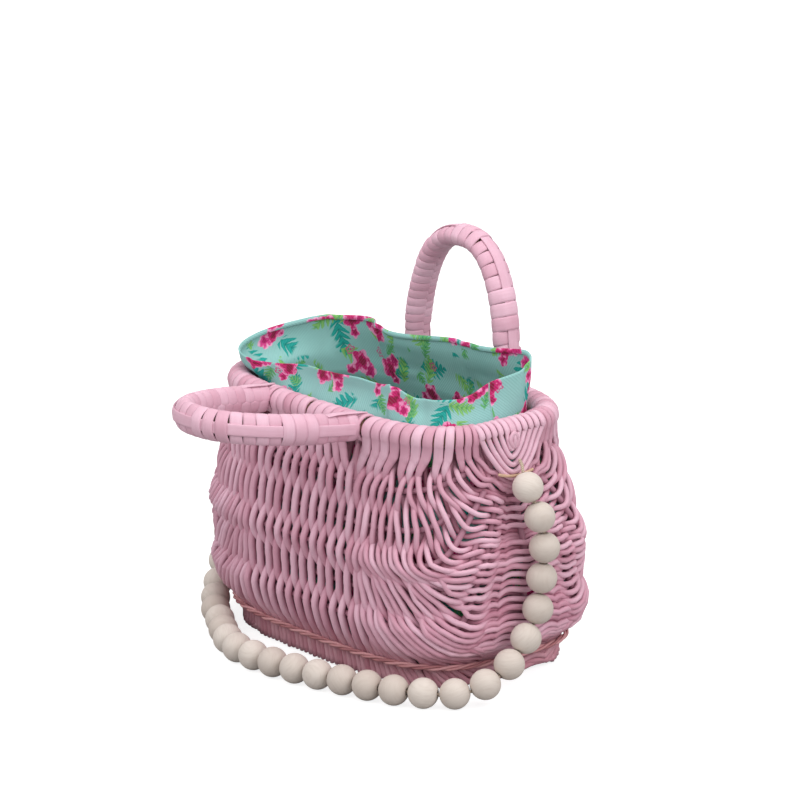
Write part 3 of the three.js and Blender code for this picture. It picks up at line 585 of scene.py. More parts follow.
def on_surface(rows, shares, inset):
    """Points at these rows and shares of each row's length, this far inside the surface."""
    where = np.clip(shares, 0, 1) * (COLUMNS - 1)
    low = np.minimum(where.astype(int), COLUMNS - 2)
    part = (where - low)[:, None]
    point = surface[rows, low] * (1 - part) + surface[rows, low + 1] * part
    out = unit(normal[rows, low] * (1 - part) + normal[rows, low + 1] * part)
    return point - out * np.asarray(inset)[:, None], out


course_length = row_length[::ROWS_PER_COURSE]
print("quarter courses, mm long:", np.round(course_length))

# %% [markdown]
# ## Strands of the weave
# A willow weaver starts at the front rim, goes down over and under the ribs, passes below the
# floor and comes up to the rim at the back. Towards the ends the courses are longer than the
# rim, so a maker packs in pairs of short canes that start from lower ribs. An array of equal
# strips would leave wedges open there. So each strand here has its own start, and the list
# PACKING says after which weaver and from which rib a pair begins.

# %% Which strands there are
REGULAR = 34
STRAIGHT = 12
MIDDLE_PITCH = 4.8
# after which weaver a pair of short canes stands, and from which rib it starts
PACKING = [(17, 1), (22, 1), (26, 1), (19, 2), (20, 2), (24, 2), (15, 3), (18, 3), (21, 3), (16, 3),
           (13, 4), (14, 4), (17, 4), (19, 4), (12, 5), (13, 5), (14, 5), (16, 5), (18, 5), (12, 6),
           (13, 6), (15, 6)]

strands = []
for i in range(REGULAR):
    strands.append((i, 0))
    for after, rib in PACKING:
        if after == i:
            strands += [(i, rib), (i, rib)]
# the weaver a strand belongs to, the course it starts from, its number from the knot
base = np.array([s[0] for s in strands])
begins = np.array([s[1] for s in strands])
ends_face = np.arange(len(strands))[::-1]
even_length = MIDDLE_PITCH * STRAIGHT
print("strands in a quarter:", len(strands), "of which start at the rim:", int(np.sum(begins == 0)))

# %% [markdown]
# The first twelve stand upright at an even distance. The others fan out, and on the end faces
# they must nest: where a strand crosses a course it is at the height that the keel gives it.
# The keel is laid out first, because there every strand is present.

# %% Strands along the keel
# mm from the knot to the first strand, course by course
ROOM_AT_KNOT = np.array([25.8, 18.4, 17.6, 17.2, 17.6, 18.2, 19.4, 20.2])
CLEAR_OF_LEVEL, CLEAR_OF_FLOOR = 6, 12
WIDER_FROM, WIDER_OVER, WIDER_BY = 40, 8, 0.45


def spaced(length, weights):
    """Middles of the strands that share this length by their weights."""
    steps = weights * length / np.sum(weights)
    return np.cumsum(steps) - steps / 2


def height_to_length(w):
    """Heights on a course as it climbs to the knot, and how far each is from the knot."""
    line = surface[w * ROWS_PER_COURSE]
    away = (1 - np.linspace(0, 1, COLUMNS)) * course_length[w]
    clear = CLEAR_OF_LEVEL if w < KEEL else CLEAR_OF_FLOOR
    climbing = line[:, 2] > COURSES[w][0] + clear
    return line[climbing, 2], away[climbing]


keel_count = len(strands) - STRAIGHT
keel_weights = 1 + WIDER_BY * smooth((np.arange(keel_count) - WIDER_FROM) / WIDER_OVER)
keel_room = course_length[KEEL] - ROOM_AT_KNOT[KEEL] - even_length
keel_away = ROOM_AT_KNOT[KEEL] + spaced(keel_room, keel_weights)
keel_heights, keel_lengths = height_to_length(KEEL)
keel_height = np.interp(keel_away, keel_lengths[::-1], keel_heights[::-1])
print("pitch along the keel:", np.round(np.diff(keel_away)[[0, -1]], 1), "mm at the knot and at the middle")

# %% [markdown]
# Now the other courses. Near the knot the strands run level with the keel's, further out they
# share what is left of the course, and the spacing grows evenly from one part to the other.

# %% Strands along the other courses
# how many strands of a course run level with the keel's
LEVEL_ACROSS = {3: 14, 4: 21, 5: 31, 6: 44}
ROUND_FROM, ROUND_AT_KNOT = 24, 45
EVEN_AFTER = 3
# relative distance of the strands in front of the basket and at the knot
RIM_STEPS = (1.18, 0.72)
RIM_RAMP = 1.3


def level_strands(w, count):
    """How far from the knot the first strands cross a course, at the heights of the keel's."""
    heights, lengths = height_to_length(w)
    crossing = np.interp(keel_height[:count], heights, lengths)
    nested = keel_away[:count] * ROOM_AT_KNOT[w] / ROOM_AT_KNOT[KEEL]
    return nested + (crossing - nested) * smooth((keel_away[:count] - ROUND_FROM) / ROUND_AT_KNOT)


share = np.full((len(strands), len(COURSES)), np.nan)
for w, length in enumerate(course_length):
    here = np.flatnonzero((begins <= w) & (base >= STRAIGHT))[::-1]
    even = np.flatnonzero(base < STRAIGHT)
    share[even, w] = MIDDLE_PITCH * (np.arange(len(even)) + 0.5) / length
    if w == KEEL:
        share[here, w] = 1 - keel_away / length
        continue
    level = LEVEL_ACROSS.get(w, 0)
    count = len(here) - level
    ramp = np.linspace(0, 1, count)
    if level:
        fixed = level_strands(w, level)
        first = fixed[-1] - fixed[-2]
        start = fixed[-1] + first / 2
        mean = (length - even_length - start) / count
        weights = first / mean + (1 - first / mean) * smooth(ramp * EVEN_AFTER)
    else:
        fixed = np.empty(0)
        start = ROOM_AT_KNOT[w]
        weights = np.ones(count)
    if w == RIM:
        weights = RIM_STEPS[1] + (RIM_STEPS[0] - RIM_STEPS[1]) * smooth(ramp * RIM_RAMP)
    away = np.r_[fixed, start + spaced(length - even_length - start, weights)]
    share[here, w] = 1 - away / length
print("strands that cross each course:", [int(np.sum(~np.isnan(share[:, w]))) for w in range(len(COURSES))])

# %% [markdown]
# At the rim each handle's eye needs a gap, so the weavers on both sides of it move aside.

# %% Gaps for the eyes
# mm from the middle of the front: the eye's middle and the two sides of its gap
EYE_AT, EYE_FROM, EYE_TO = 48.5, 40.3, 57.8

total = course_length[RIM]
top = share[:, RIM] * total
plain_step = np.full(len(strands), np.nan)
regular = np.flatnonzero(begins == 0)
plain_step[regular] = np.gradient(top[regular])
before_eye = top < EYE_AT
squeeze = np.where(before_eye, EYE_FROM / EYE_AT, (total - EYE_TO) / (total - EYE_AT))
share[:, RIM] = np.where(before_eye, top * squeeze, EYE_TO + (top - EYE_AT) * squeeze) / total
pitch_of = plain_step * squeeze
print("pitch at the rim:", np.round(pitch_of[regular[0]], 2), "mm in front,",
      np.round(pitch_of[regular[-1]], 2), "mm at the knot")


def between_courses(values, t):
    """Values between the courses: a cubic through each pair of known ones and their slopes."""
    known = np.flatnonzero(~np.isnan(values))
    v = values[known]
    slope = np.gradient(v) if len(v) > 1 else np.zeros(1)
    x = np.clip(t, known[0], known[-1]) - known[0]
    low = np.minimum(x.astype(int), max(len(v) - 2, 0))
    f = x - low
    a, b = v[low], v[np.minimum(low + 1, len(v) - 1)]
    sa, sb = slope[low], slope[np.minimum(low + 1, len(v) - 1)]
    return (a * (1 + 2 * f) * (1 - f) ** 2 + sa * f * (1 - f) ** 2
            + b * f * f * (3 - 2 * f) - sb * f * f * (1 - f))


# %% [markdown]
# ## Over one rib, under the next
# Seen along a strand its depth is a wave: out over one rib and in under the next. A sine would
# do, but a thick cane stays out for longer and dips quickly, as it does in the photograph. So
# the depth is given at each rib, and the way from one to the next starts slowly on the outside.
# Next to the knot the ribs end, and there the strands lie flat.

# %% Depth along a strand
# mm below the surface: over a rib, under it, flat, and in the step above the foot
OVER, UNDER, FLAT, RECESS = 2.2, 8.4, 4.2, 6.4
STAY_OUT = 1.35
# mm from the knot at which each rib ends
RIB_STOPS = {1: 33, 2: 62, 3: 36, 4: 66, 5: 36, 7: 30}
# steps from the rim and depth there, for strands that start outside and inside the hoop
OUTER_START = [(0, -0.4), (0.22, 1.0)]
INNER_START = [(0, 10.2), (0.25, 8.0)]
RIM_START, SHORT_START = 0.12, 0.92
RECESS_SWING, RECESS_FROM, RECESS_TO = 1.3, 5.75, 6.2
END_FACE_ABOVE = 26


def eased(t, knots):
    """Depth between the given knots: half a cosine, held back by STAY_OUT on the outer side."""
    at, depth = np.array(knots).T
    low = np.clip(np.searchsorted(at, t, side="right") - 1, 0, len(at) - 2)
    f = np.clip((t - at[low]) / (at[low + 1] - at[low]), 0, 1)
    inwards = depth[low + 1] > depth[low]
    f = np.where(inwards, f ** STAY_OUT, 1 - (1 - f) ** STAY_OUT)
    return depth[low] + (depth[low + 1] - depth[low]) * (1 - np.cos(math.pi * f)) / 2


def crossings(k, outside, start):
    """Where strand k meets a rib and how deep it lies there, over and under in turn."""
    if begins[k]:
        knots = [(start, UNDER)]
    else:
        knots = [(start + step, depth) for step, depth in (OUTER_START if outside else INNER_START)]
    over = not outside
    for w in RIB_STOPS:
        row = np.array([w * ROWS_PER_COURSE])
        point, _ = on_surface(row, between_courses(share[k], np.array([float(w)])), [0.0])
        if w < begins[k]:
            over = not over
            continue
        if np.linalg.norm(point[0] - KNOT) < RIB_STOPS[w]:
            if w == KEEL:
                knots.append((KEEL, FLAT))
            continue
        if w == KEEL:
            on_end = keel_height[min(ends_face[k], keel_count - 1)] > END_FACE_ABOVE
            swing = -RECESS_SWING if over else RECESS_SWING
            low = RECESS + swing if on_end else FLAT
            knots += [(RECESS_FROM, low), (RECESS_TO, low)]
        knots.append((w, OVER if over else UNDER))
        over = not over
    if len(knots) == 1:
        knots.append((KEEL, FLAT))
    return sorted(dict(knots).items())


def half_strand(k, outside):
    """The front half of a strand: points, outward directions, its course and depth at each."""
    start = begins[k] - SHORT_START if begins[k] else RIM_START
    rows = np.flatnonzero(row_course >= start)
    t = row_course[rows]
    inset = eased(t, crossings(k, outside, start))
    points, out = on_surface(rows, between_courses(share[k], t), inset)
    return points, out, t, inset


for w in (RIM, 3, KEEL):
    seen_here = ~np.isnan(share[:, w])
    steps = np.abs(np.diff(share[seen_here, w])) * course_length[w]
    print("course", w, "has", int(seen_here.sum()), "strands,", np.round(steps.mean(), 1), "mm apart")

# %% [markdown]
# ## Over the rim
# A weaver that comes up on the outside of the rim is hammered flat to a band, goes over the
# hoop and down on its inside; the next weaver starts there. That is why the rim looks bound.
# One torus with stripes could stand for it, but the bands are what catches the light, so each
# is swept round the hoop from its own weaver.

# %% A band round the hoop
HOOP_HEIGHT = 167
WRAP_MIDDLE = 7.3
RIM_OUT = 4.5
BESIDE_EYE = 5
SLANT = 0.9
WRAP_FROM, WRAP_TO = -34, 214
wrap_angles = np.radians(np.linspace(WRAP_FROM, WRAP_TO, 26))


def rim_frame(share_on_rim):
    """The middle of the hoop at a share of the rim's quarter, and the level way out of it."""
    row = np.zeros(len(share_on_rim), int)
    point, out = on_surface(row, share_on_rim, np.zeros(len(share_on_rim)))
    out = unit(out * [1, 1, 0])
    return point - out * RIM_OUT + [0, 0, HOOP_HEIGHT - BODY_TOP], out


def rim_wrap(k):
    """The band of weaver k: a circle round the hoop that slants by most of one pitch."""
    slide = (wrap_angles - wrap_angles[0]) / (wrap_angles[-1] - wrap_angles[0])
    by_eye = EYE_FROM - BESIDE_EYE < share[k, RIM] * total < EYE_AT
    slant = 0 if by_eye else SLANT * pitch_of[k]
    centre, out = rim_frame(share[k, RIM] + slide * slant / total)
    upwards = np.array([0, 0, 1.0]) * np.sin(wrap_angles)[:, None]
    radial = out * np.cos(wrap_angles)[:, None] + upwards
    return centre + radial * WRAP_MIDDLE, radial


print("a band goes", WRAP_TO - WRAP_FROM, "degrees round the hoop")


# %% [markdown]
# ## Weaving
# Each strand is worked out once, in front, and the back half is the same with its own small
# unevenness, because no two canes lie alike. The halves meet under the floor. The right end is
# then turned over to make the left one. Strands that lie deep get a darker tone: painted shade.

# %% Parts of a strand
# the strand's number from the knot, and its radius
STRAND_SIZES = [14, 44, 56, 66], [1.85, 2.1, 2.5, 2.55]
BAND_THICK = 1.45
BAND_SHARE = 0.93
BAND_SIDES, BAND_SQUARE = 10, 2.6
BAND_FROM, BAND_OVER = 0.12, 0.75
# how much darker a strand gets where it lies deep: painted shade
DEPTH_SHADE, SHADE_FROM, SHADE_OVER = 0.55, 2.5, 6
TO_BACK = np.array([1, -1, 1])
WOBBLE, UNEVEN = 0.28, 0.25
BAND_ROWS = 2
LEAD_IN, LEAD_DOWN = 6.6, -3.2


def uneven_half(k, outside, tone, back):
    """Half a strand, moved aside and in or out a little by random draws, with its shades."""
    points, out, t, inset = half_strand(k, outside)
    wobble = np.interp(t, np.arange(9), rng.normal(0, WOBBLE, 9))
    depth = np.interp(t, np.arange(9), rng.normal(0, UNEVEN, 9))
    sideways = unit(np.cross(np.gradient(points, axis=0), out))
    points = points + sideways * wobble[:, None] + out * depth[:, None]
    if back:
        points, out = points * TO_BACK, out * TO_BACK
    return points, out, t, tone - DEPTH_SHADE * smooth((inset - SHADE_FROM) / SHADE_OVER)


def band_sizes(k, t, radius):
    """Half width and half thickness: a band at the rim, which narrows to the round cane."""
    band = BAND_SHARE * pitch_of[k]
    narrowing = smooth((t - BAND_FROM) / BAND_OVER)
    return band + (radius - band) * narrowing, BAND_THICK + (radius - BAND_THICK) * narrowing


def rim_band(k, half, back, side, sizes, tone):
    """The band from inside the hoop to the first points of the strand, and where it sits."""
    points, out = half[:2]
    wide, thick = sizes
    above, face = rim_wrap(k)
    if back:
        above, face = above * TO_BACK, face * TO_BACK
    path = np.vstack([above[::-1], points[:BAND_ROWS]])
    faces = np.vstack([face[::-1], out[:BAND_ROWS]])
    w = np.r_[np.full(len(above), BAND_SHARE * pitch_of[k]), wide[:BAND_ROWS]]
    h = np.r_[np.full(len(above), BAND_THICK), thick[:BAND_ROWS]]
    part = tube(path * [side, 1, 1], faces * [side, 1, 1], w, h, BAND_SIDES, tone, BAND_SQUARE)
    return part, abs(above[0, 0]) < EYE_AT


def joined(front, back):
    """The front half followed by the back half in reverse; their shared point comes once."""
    return np.concatenate([front, back[::-1][1:]])


print("a band in front is", np.round(2 * BAND_SHARE * pitch_of[0], 1), "mm wide at the rim")


# %% Weave both ends
weave = {name: [] for name in ("right_a", "right_b", "left_a", "left_b")}
wraps = {name: [] for name in ("front", "back", "left", "right")}
for side, end in ((1, "right"), (-1, "left")):
    for k in range(len(strands)):
        outside = (k + (0 if side > 0 else 1)) % 2 == 0
        tone = rng.uniform(0.3, 0.95)
        radius = np.interp(ends_face[k], *STRAND_SIZES) * rng.uniform(0.94, 1.04)
        front, back = [uneven_half(k, outside, tone, turned_back) for turned_back in (False, True)]
        sizes = [(np.full(len(t), radius), np.full(len(t), radius)) for t in (front[2], back[2])]
        if outside and begins[k] == 0:
            sizes = [band_sizes(k, t, radius) for t in (front[2], back[2])]
            for turned_back, (half, half_sizes) in enumerate(zip((front, back), sizes)):
                part, in_middle = rim_band(k, half, turned_back, side, half_sizes, tone)
                wraps[("front", "back")[turned_back] if in_middle else end].append(part)
        path, faces = joined(front[0], back[0]), joined(front[1], back[1])
        wide, thick = joined(sizes[0][0], sizes[1][0]), joined(sizes[0][1], sizes[1][1])
        shades = joined(front[3], back[3])
        if begins[k] == 0 and not outside:
            inside, _ = rim_frame(np.array([share[k, RIM]]))
            inward = unit(np.array([[0, 0, 0]]) - inside * [1, 1, 0])
            lead = inside + inward * LEAD_IN + [0, 0, LEAD_DOWN]
            path = np.vstack([lead, path, lead * TO_BACK])
            faces = np.vstack([faces[0], faces, faces[-1]])
            wide, thick = np.r_[radius, wide, radius], np.r_[radius, thick, radius]
            shades = np.r_[shades[0], shades, shades[-1]]
        part = tube(path * [side, 1, 1], faces * [side, 1, 1], wide, thick, sides=8, tone=shades)
        weave[f"{end}_{'a' if k < len(strands) // 2 else 'b'}"].append(part)
print("bands on the rim:", {name: len(parts) for name, parts in wraps.items()})

# %% [markdown]
# Under each eye the two weavers beside it part like a fork. On the real bag shorter canes lie
# behind them there, so three fill each fork.

# %% Fill the forks and make the pieces
FORK_TOP, FORK_FOOT = 0.1, 1.4
FORK_DEPTH = 6.2
inner_by_eye = regular[top[regular] < EYE_AT][-1]
outer_by_eye = regular[top[regular] >= EYE_AT][0]


def below_eye(blend, side, turn):
    """A cane behind the fork: its share lies between the two weavers', in this blend."""
    rows = np.flatnonzero((row_course >= FORK_TOP) & (row_course <= FORK_FOOT))
    t = row_course[rows]
    inner_shares = (1 - blend) * between_courses(share[inner_by_eye], t)
    shares = inner_shares + blend * between_courses(share[outer_by_eye], t)
    points, out = on_surface(rows, shares, np.full(len(rows), FORK_DEPTH))
    # a low tone darkens these deep canes: painted shade
    return tube(points * [side, turn, 1], out * [side, turn, 1], 2.2, 2.0, sides=8, tone=0.3)


for side, end in ((1, "right"), (-1, "left")):
    for turn in (1, -1):
        weave[f"{end}_a"] += [below_eye(blend, side, turn) for blend in (0.22, 0.5, 0.78)]

for name, parts in weave.items():
    piece(f"weave_{name}", parts, painted, replaces=["woven_body"])
for name, parts in wraps.items():
    piece(f"rim_binding_{name}", parts, painted, replaces=[f"rim_wrap_{name}"])

# %% [markdown]
# ## Ribs, keel and hoop
# These are the rods that everything is woven on. They lie between the two layers of the weave
# and show through its gaps. Ten ribs and the keel run from knot to knot, and the hoop closes
# the rim inside its bands.

# %% Ribs and keel
RIB_INSET = 5.9
RIB_RADIUS = 2.0
RIB_POINTS = 90
HOOP_LENGTH, HOOP_WIDTH, HOOP_RADIUS = 120, 60, 5
OUTLINE_POINTS = 4001


def rib_tube(w, back):
    """A course on the inside of the weave, cut off where the knot begins, and mirrored."""
    rows = np.full(RIB_POINTS, w * ROWS_PER_COURSE)
    points, out = on_surface(rows, np.linspace(0, 1, RIB_POINTS), np.full(RIB_POINTS, RIB_INSET))
    kept = np.linalg.norm(points - KNOT, axis=1) > RIB_STOPS[w] - RIB_RADIUS
    points, out = points[kept], out[kept]
    points = np.vstack([points[::-1] * [-1, 1, 1], points[1:]])
    out = np.vstack([out[::-1] * [-1, 1, 1], out[1:]])
    turn = TO_BACK if back else np.array([1, 1, 1])
    return tube(points * turn, out * turn, RIB_RADIUS, RIB_RADIUS, sides=10, tone=rng.uniform(0, 1))


for w in range(1, FOOT_EDGE):
    for name, back in (("front", False), ("back", True)):
        piece(f"rib_{name}_{w}_round", [rib_tube(w, back)], inner, replaces=[f"rib_{name}_{w}"])
piece("keel_round", [rib_tube(KEEL, False)], inner, replaces=["keel_rib"])

# %% Hoop


def outline(half_length, half_width, count, height):
    """A level superellipse with its points at even distances, and its length."""
    angle = np.linspace(0, 2 * math.pi, OUTLINE_POINTS)
    c, s = np.cos(angle), np.sin(angle)
    x = half_length * np.sign(c) * np.abs(c) ** (2 / SQUARENESS)
    y = half_width * np.sign(s) * np.abs(s) ** (2 / SQUARENESS)
    line = np.stack([x, y, np.full(OUTLINE_POINTS, height)], axis=1)
    lengths = measured(line)
    return by_length(line, lengths, np.linspace(0, lengths[-1], count, endpoint=False)), lengths[-1]


hoop, hoop_length = outline(HOOP_LENGTH, HOOP_WIDTH, 240, HOOP_HEIGHT)
hoop_rod = tube(hoop, [0, 0, 1], HOOP_RADIUS, HOOP_RADIUS, sides=16, tone=0.4, closed=True)
piece("rim_hoop_round", [hoop_rod], cane, replaces=["rim_hoop"])
print("hoop is", round(hoop_length), "mm round")

# %% [markdown]
# ## Foot cord
# Three thin cords twine round the step above the foot and hold the weavers in. A rope texture
# on one ring would look flat from below, where the light rakes it, so they are three rods that
# turn about the ring's line, each a third of a turn after the last.

# %% Foot cord
STEP_LENGTH, STEP_WIDTH, STEP_HEIGHT = 125.2, 72.6, 17.6
CORD_TURNS = 21
CORDS = 3
CORD_POINTS = 900
TWINE_RADIUS, TWINE_THICK = 1.1, 0.95

ring_line, ring_length = outline(STEP_LENGTH, STEP_WIDTH, CORD_POINTS, STEP_HEIGHT)
along = unit(np.roll(ring_line, -1, axis=0) - np.roll(ring_line, 1, axis=0))
ring_out = np.cross(along, [0, 0, 1])
cords = []
for c in range(CORDS):
    phase = 2 * math.pi * (CORD_TURNS * np.arange(CORD_POINTS) / CORD_POINTS + c / CORDS)
    upwards = np.array([0, 0, 1]) * np.sin(phase)[:, None]
    path = ring_line + (ring_out * np.cos(phase)[:, None] + upwards) * TWINE_RADIUS
    cords.append(tube(path, ring_out, TWINE_THICK, TWINE_THICK, sides=7, tone=c / 2, closed=True))
piece("foot_twining", cords, border_look, replaces=["foot_border"])
print("one turn of the foot cord takes", round(ring_length / CORD_TURNS, 1), "mm")

# %% [markdown]
# ## End knots
# At each end a lashing holds ribs, hoop and keel together. Five bands hang over the rim on
# either side of the middle, run down the face and meet in nested Vs, a small lozenge sits
# between them, and a thin bare cane ties the foot. A bump on a flat shield would be quicker,
# but the light between the bands is what makes it read as a knot, so every band is wound.

# %% Bands of the knots
# mm from the middle at the rim, and the height of each V's point
KNOT_TOPS = [4.8, 9.8, 14.8, 19.8, 24.8]
KNOT_FEET = [157.6, 152.4, 147.4, 142.8, 138.8]
KNOT_ROUND = 1.72
KNOT_LEAN = 3.2
FACE_AT_RIM, FACE_AT_TOP, FACE_AT_BELLY = 129.2, 129.4, 134
BELLY_HEIGHT = 132
FACE_GAIN = 4.6
OVER_BODY = 0.4
FACE_POINTS, OVER_POINTS = 51, 14
OVER_FROM, OVER_TO = 212, 12
OVER_OUT = 1.2
OVER_HALF, OVER_THICK = 2.2, 1.5
FACE_HALF, FACE_THICKER = 1.75, 0.45
SUNK, RISES, RISE_RAMP, NESTED = 0.9, 1.5, 1.6, 0.25


def knot_face(height):
    """How far out the knot lies: a straight bridge from rim to belly, or the body if further."""
    body = sizes_at(np.minimum(height, BODY_TOP))[0] + OVER_BODY
    bridge = FACE_AT_TOP + (BODY_TOP - height) / (BODY_TOP - BELLY_HEIGHT) * FACE_GAIN
    return np.where(height > BODY_TOP, FACE_AT_RIM, np.maximum(body, np.minimum(bridge, FACE_AT_BELLY)))


def over_hoop(x, y, to_angle, out_sign=1):
    """A way over the hoop at one place: part of a circle, and its outward directions."""
    angles = np.radians(np.linspace(OVER_FROM, to_angle, OVER_POINTS))
    path = np.stack([x + WRAP_MIDDLE * np.cos(angles), np.full(OVER_POINTS, y),
                     HOOP_HEIGHT + WRAP_MIDDLE * np.sin(angles)], axis=1)
    return path, np.stack([np.cos(angles) * out_sign, np.zeros(OVER_POINTS), np.sin(angles)], axis=1)


def knot_strand(j, side, tone):
    """Band j over the rim, down one arm of its V and up the other.

    At y across, the share of the way down is 1 less (y over its top) to the power KNOT_ROUND.
    Wider bands lie a little deeper, so that they pass under the narrower ones.
    """
    top_y, foot = KNOT_TOPS[j], KNOT_FEET[j]
    y = top_y * np.sin(np.linspace(1, -1, FACE_POINTS) * math.pi / 2)
    share_down = np.clip(1 - (np.abs(y) / top_y) ** KNOT_ROUND, 0, 1)
    z = HOOP_HEIGHT - (HOOP_HEIGHT - foot) * share_down
    x = knot_face(z) - SUNK + RISES * smooth(share_down * RISE_RAMP) - NESTED * j
    face = np.stack([x, y - KNOT_LEAN * share_down, z], axis=1)
    over, over_out = over_hoop(HOOP_LENGTH + OVER_OUT, top_y, OVER_TO)
    inner_points = FACE_POINTS - 2
    path = np.vstack([over, face[1:-1], over[::-1] * TO_BACK])
    out = np.vstack([over_out, np.tile([1.0, 0, 0], (inner_points, 1)), over_out[::-1]])
    end_half, end_thick = np.full(OVER_POINTS, OVER_HALF), np.full(OVER_POINTS, OVER_THICK)
    wide = np.r_[end_half, np.full(inner_points, FACE_HALF), end_half]
    thick = np.r_[end_thick, OVER_THICK + FACE_THICKER * smooth(share_down[1:-1] * 2), end_thick]
    return tube(path * [side, 1, 1], out * [side, 1, 1], wide, thick, sides=10, tone=tone, square=2.1)


print("the knot's face is", np.round(knot_face(np.array([160, 150, 140])), 1), "mm out, from top to foot")


# %% [markdown]
# The lozenge is a ring with pointed corners, a short stub in it and one band over the rim. The
# canes behind the knot and the tie below it fill what would be open otherwise.

# %% Lozenge, canes and tie
LOZENGE_POINTS = 40
LOZENGE_FACE, LOZENGE_HEIGHT, LOZENGE_ASIDE = 131.4, 163.4, -1.6
LOZENGE_HALF_WIDTH, LOZENGE_HALF_HEIGHT = 3.0, 4.4
LOZENGE_POINTED = 1.4
STUB = np.array([[131.2, -1.4, 166.5], [131.9, -1.6, 163.5], [131.6, -1.9, 160.5]])
# mm from the middle at the rim and at the knot's foot
BEHIND = [(26, 21), (22.5, 16.5), (18.5, 12), (-26, -22), (-22.5, -18), (-18.5, -14)]
BEHIND_TOP, BEHIND_FOOT, BEHIND_DEPTH = 163, 138, 4.2
TIE_LEFT, TIE_RIGHT, TIE_HEIGHT = -18, 10, 140.9
TIE_OUT, TIE_SAG, TIE_BOW = 2.2, 0.012, 0.004


def lozenge(side):
    """A ring whose width and height are cos a and sin a to the power 1.4, a stub and a band."""
    angle = np.linspace(0, 2 * math.pi, LOZENGE_POINTS, endpoint=False)
    c, s = np.cos(angle), np.sin(angle)
    y = LOZENGE_HALF_WIDTH * np.sign(c) * np.abs(c) ** LOZENGE_POINTED + LOZENGE_ASIDE
    z = LOZENGE_HEIGHT + LOZENGE_HALF_HEIGHT * np.sign(s) * np.abs(s) ** LOZENGE_POINTED
    path = np.stack([np.full(LOZENGE_POINTS, LOZENGE_FACE), y, z], axis=1)
    ring = tube(path * [side, 1, 1], [side, 0, 0], 1.6, 1.3, sides=8, tone=0.7, closed=True)
    stub = tube(STUB * [side, 1, 1], [side, 0, 0], 1.5, 1.4, sides=8, tone=0.9)
    over, over_out = over_hoop(HOOP_LENGTH + OVER_OUT, 0, 0, side)
    band = tube(over * [side, 1, 1], over_out, 2.5, 1.4, sides=10, tone=0.8, square=2.4)
    return [ring, stub, band]


def behind_knot(side):
    """Straight canes from the rim to the knot's foot, on the superellipse inside the bands."""
    z = np.linspace(BEHIND_TOP, BEHIND_FOOT, 20)
    half_length, half_width = sizes_at(np.minimum(z, BODY_TOP))
    parts = []
    for from_y, to_y in BEHIND:
        y = np.linspace(from_y, to_y, 20)
        x = half_length * (1 - np.abs(y / half_width) ** SQUARENESS) ** (1 / SQUARENESS) - BEHIND_DEPTH
        path = np.stack([x, y, z], axis=1)
        # a low tone darkens the canes behind the bands: painted shade
        parts.append(tube(path * [side, 1, 1], [side, 0, 0], 1.95, 1.7, sides=8, tone=0.15))
    return parts


def tie(side):
    """A thin cane across the knot's foot; its height and its distance grow with y squared."""
    y = np.linspace(TIE_LEFT, TIE_RIGHT, 24)
    z = TIE_HEIGHT + TIE_SAG * (y + 1) ** 2
    path = np.stack([knot_face(z) + TIE_OUT + TIE_BOW * y * y, y, z], axis=1)
    return [tube(path * [side, 1, 1], [side, 0, 0], 1.0, 0.8, sides=8, tone=0.6)]


for side, name in ((1, "right"), (-1, "left")):
    bands = [knot_strand(j, side, rng.uniform(0.3, 1)) for j in range(len(KNOT_TOPS))]
    parts = bands + lozenge(side) + behind_knot(side)
    piece(f"knot_wraps_{name}", parts, painted, replaces=[f"end_knot_{name}"])
    piece(f"knot_tie_{name}", tie(side), cane)

# %% [markdown]
# ## Handles
# Each handle is an arch of bent cane. One long flat strip is wound round it from leg to leg,
# and a second strip lies along the outside: the binding goes under it for four turns and over
# it for three. The arch is a superellipse too. It is drawn upright at first and then turned
# about the hoop, one handle folded out and the other nearly upright.

# %% Arch of a handle
LEG, ARCH, ARCH_POWER = 48.5, 96.4, 2.46
ARCH_POINTS = 2401
HALF_STEP = 0.5
HINGE_Y = 59.269

angle = np.linspace(0, math.pi, ARCH_POINTS)
arch_x = LEG * np.sign(np.cos(angle)) * np.abs(np.cos(angle)) ** (2 / ARCH_POWER)
arch_z = ARCH * np.abs(np.sin(angle)) ** (2 / ARCH_POWER)
arch = np.stack([arch_x, np.zeros(ARCH_POINTS), arch_z], axis=1)
arch_lengths = measured(arch)
arch_total = arch_lengths[-1]
print("arch of a handle:", round(arch_total), "mm long")


def arch_frame(s):
    """The point at length s of the arch, and the way out of the arch there."""
    point = by_length(arch, arch_lengths, s)
    ahead = by_length(arch, arch_lengths, np.minimum(s + HALF_STEP, arch_total))
    behind = by_length(arch, arch_lengths, np.maximum(s - HALF_STEP, 0))
    along = unit(ahead - behind)
    return point, np.stack([along[:, 2], np.zeros(len(s)), -along[:, 0]], axis=1)


def turned(part, side, degrees):
    """The part turned about the hoop's length by an angle, and set on the hoop's long side."""
    a = math.radians(-side * degrees)
    x, y, z = part["points"].T
    points = np.stack([x, y * math.cos(a) - z * math.sin(a) + side * HINGE_Y,
                       z * math.cos(a) + y * math.sin(a) + HOOP_HEIGHT], axis=1)
    return {**part, "points": points}


# %% [markdown]
# The binding is made turn by turn, each an ellipse round the core that is slightly tilted, as
# a wound strip is. Where a turn passes over the long strip it is lifted. The two handles were
# wound by hand and differ: the front one evenly, the rear one tighter towards one side.

# %% Turns of the binding
TURN_HALF = 5.9, 9.5
LEG_SLIMMER, SLIM_TO, SLIM_OVER = 1.3, 22, 16
BINDING_START = 10.8
WINDING_STEPS, TURN_POINTS = 6000, 36
TILT = 0.45
PATTERN, OVER_TURNS = 7, (4, 5, 6)
LIFT, LIFT_ANGLE = 1.9, 52
STRIP_OVERLAP, STRIP_THICK, LAST_WIDTH = 0.54, 0.85, 8
ACROSS = np.array([0, 1, 0])


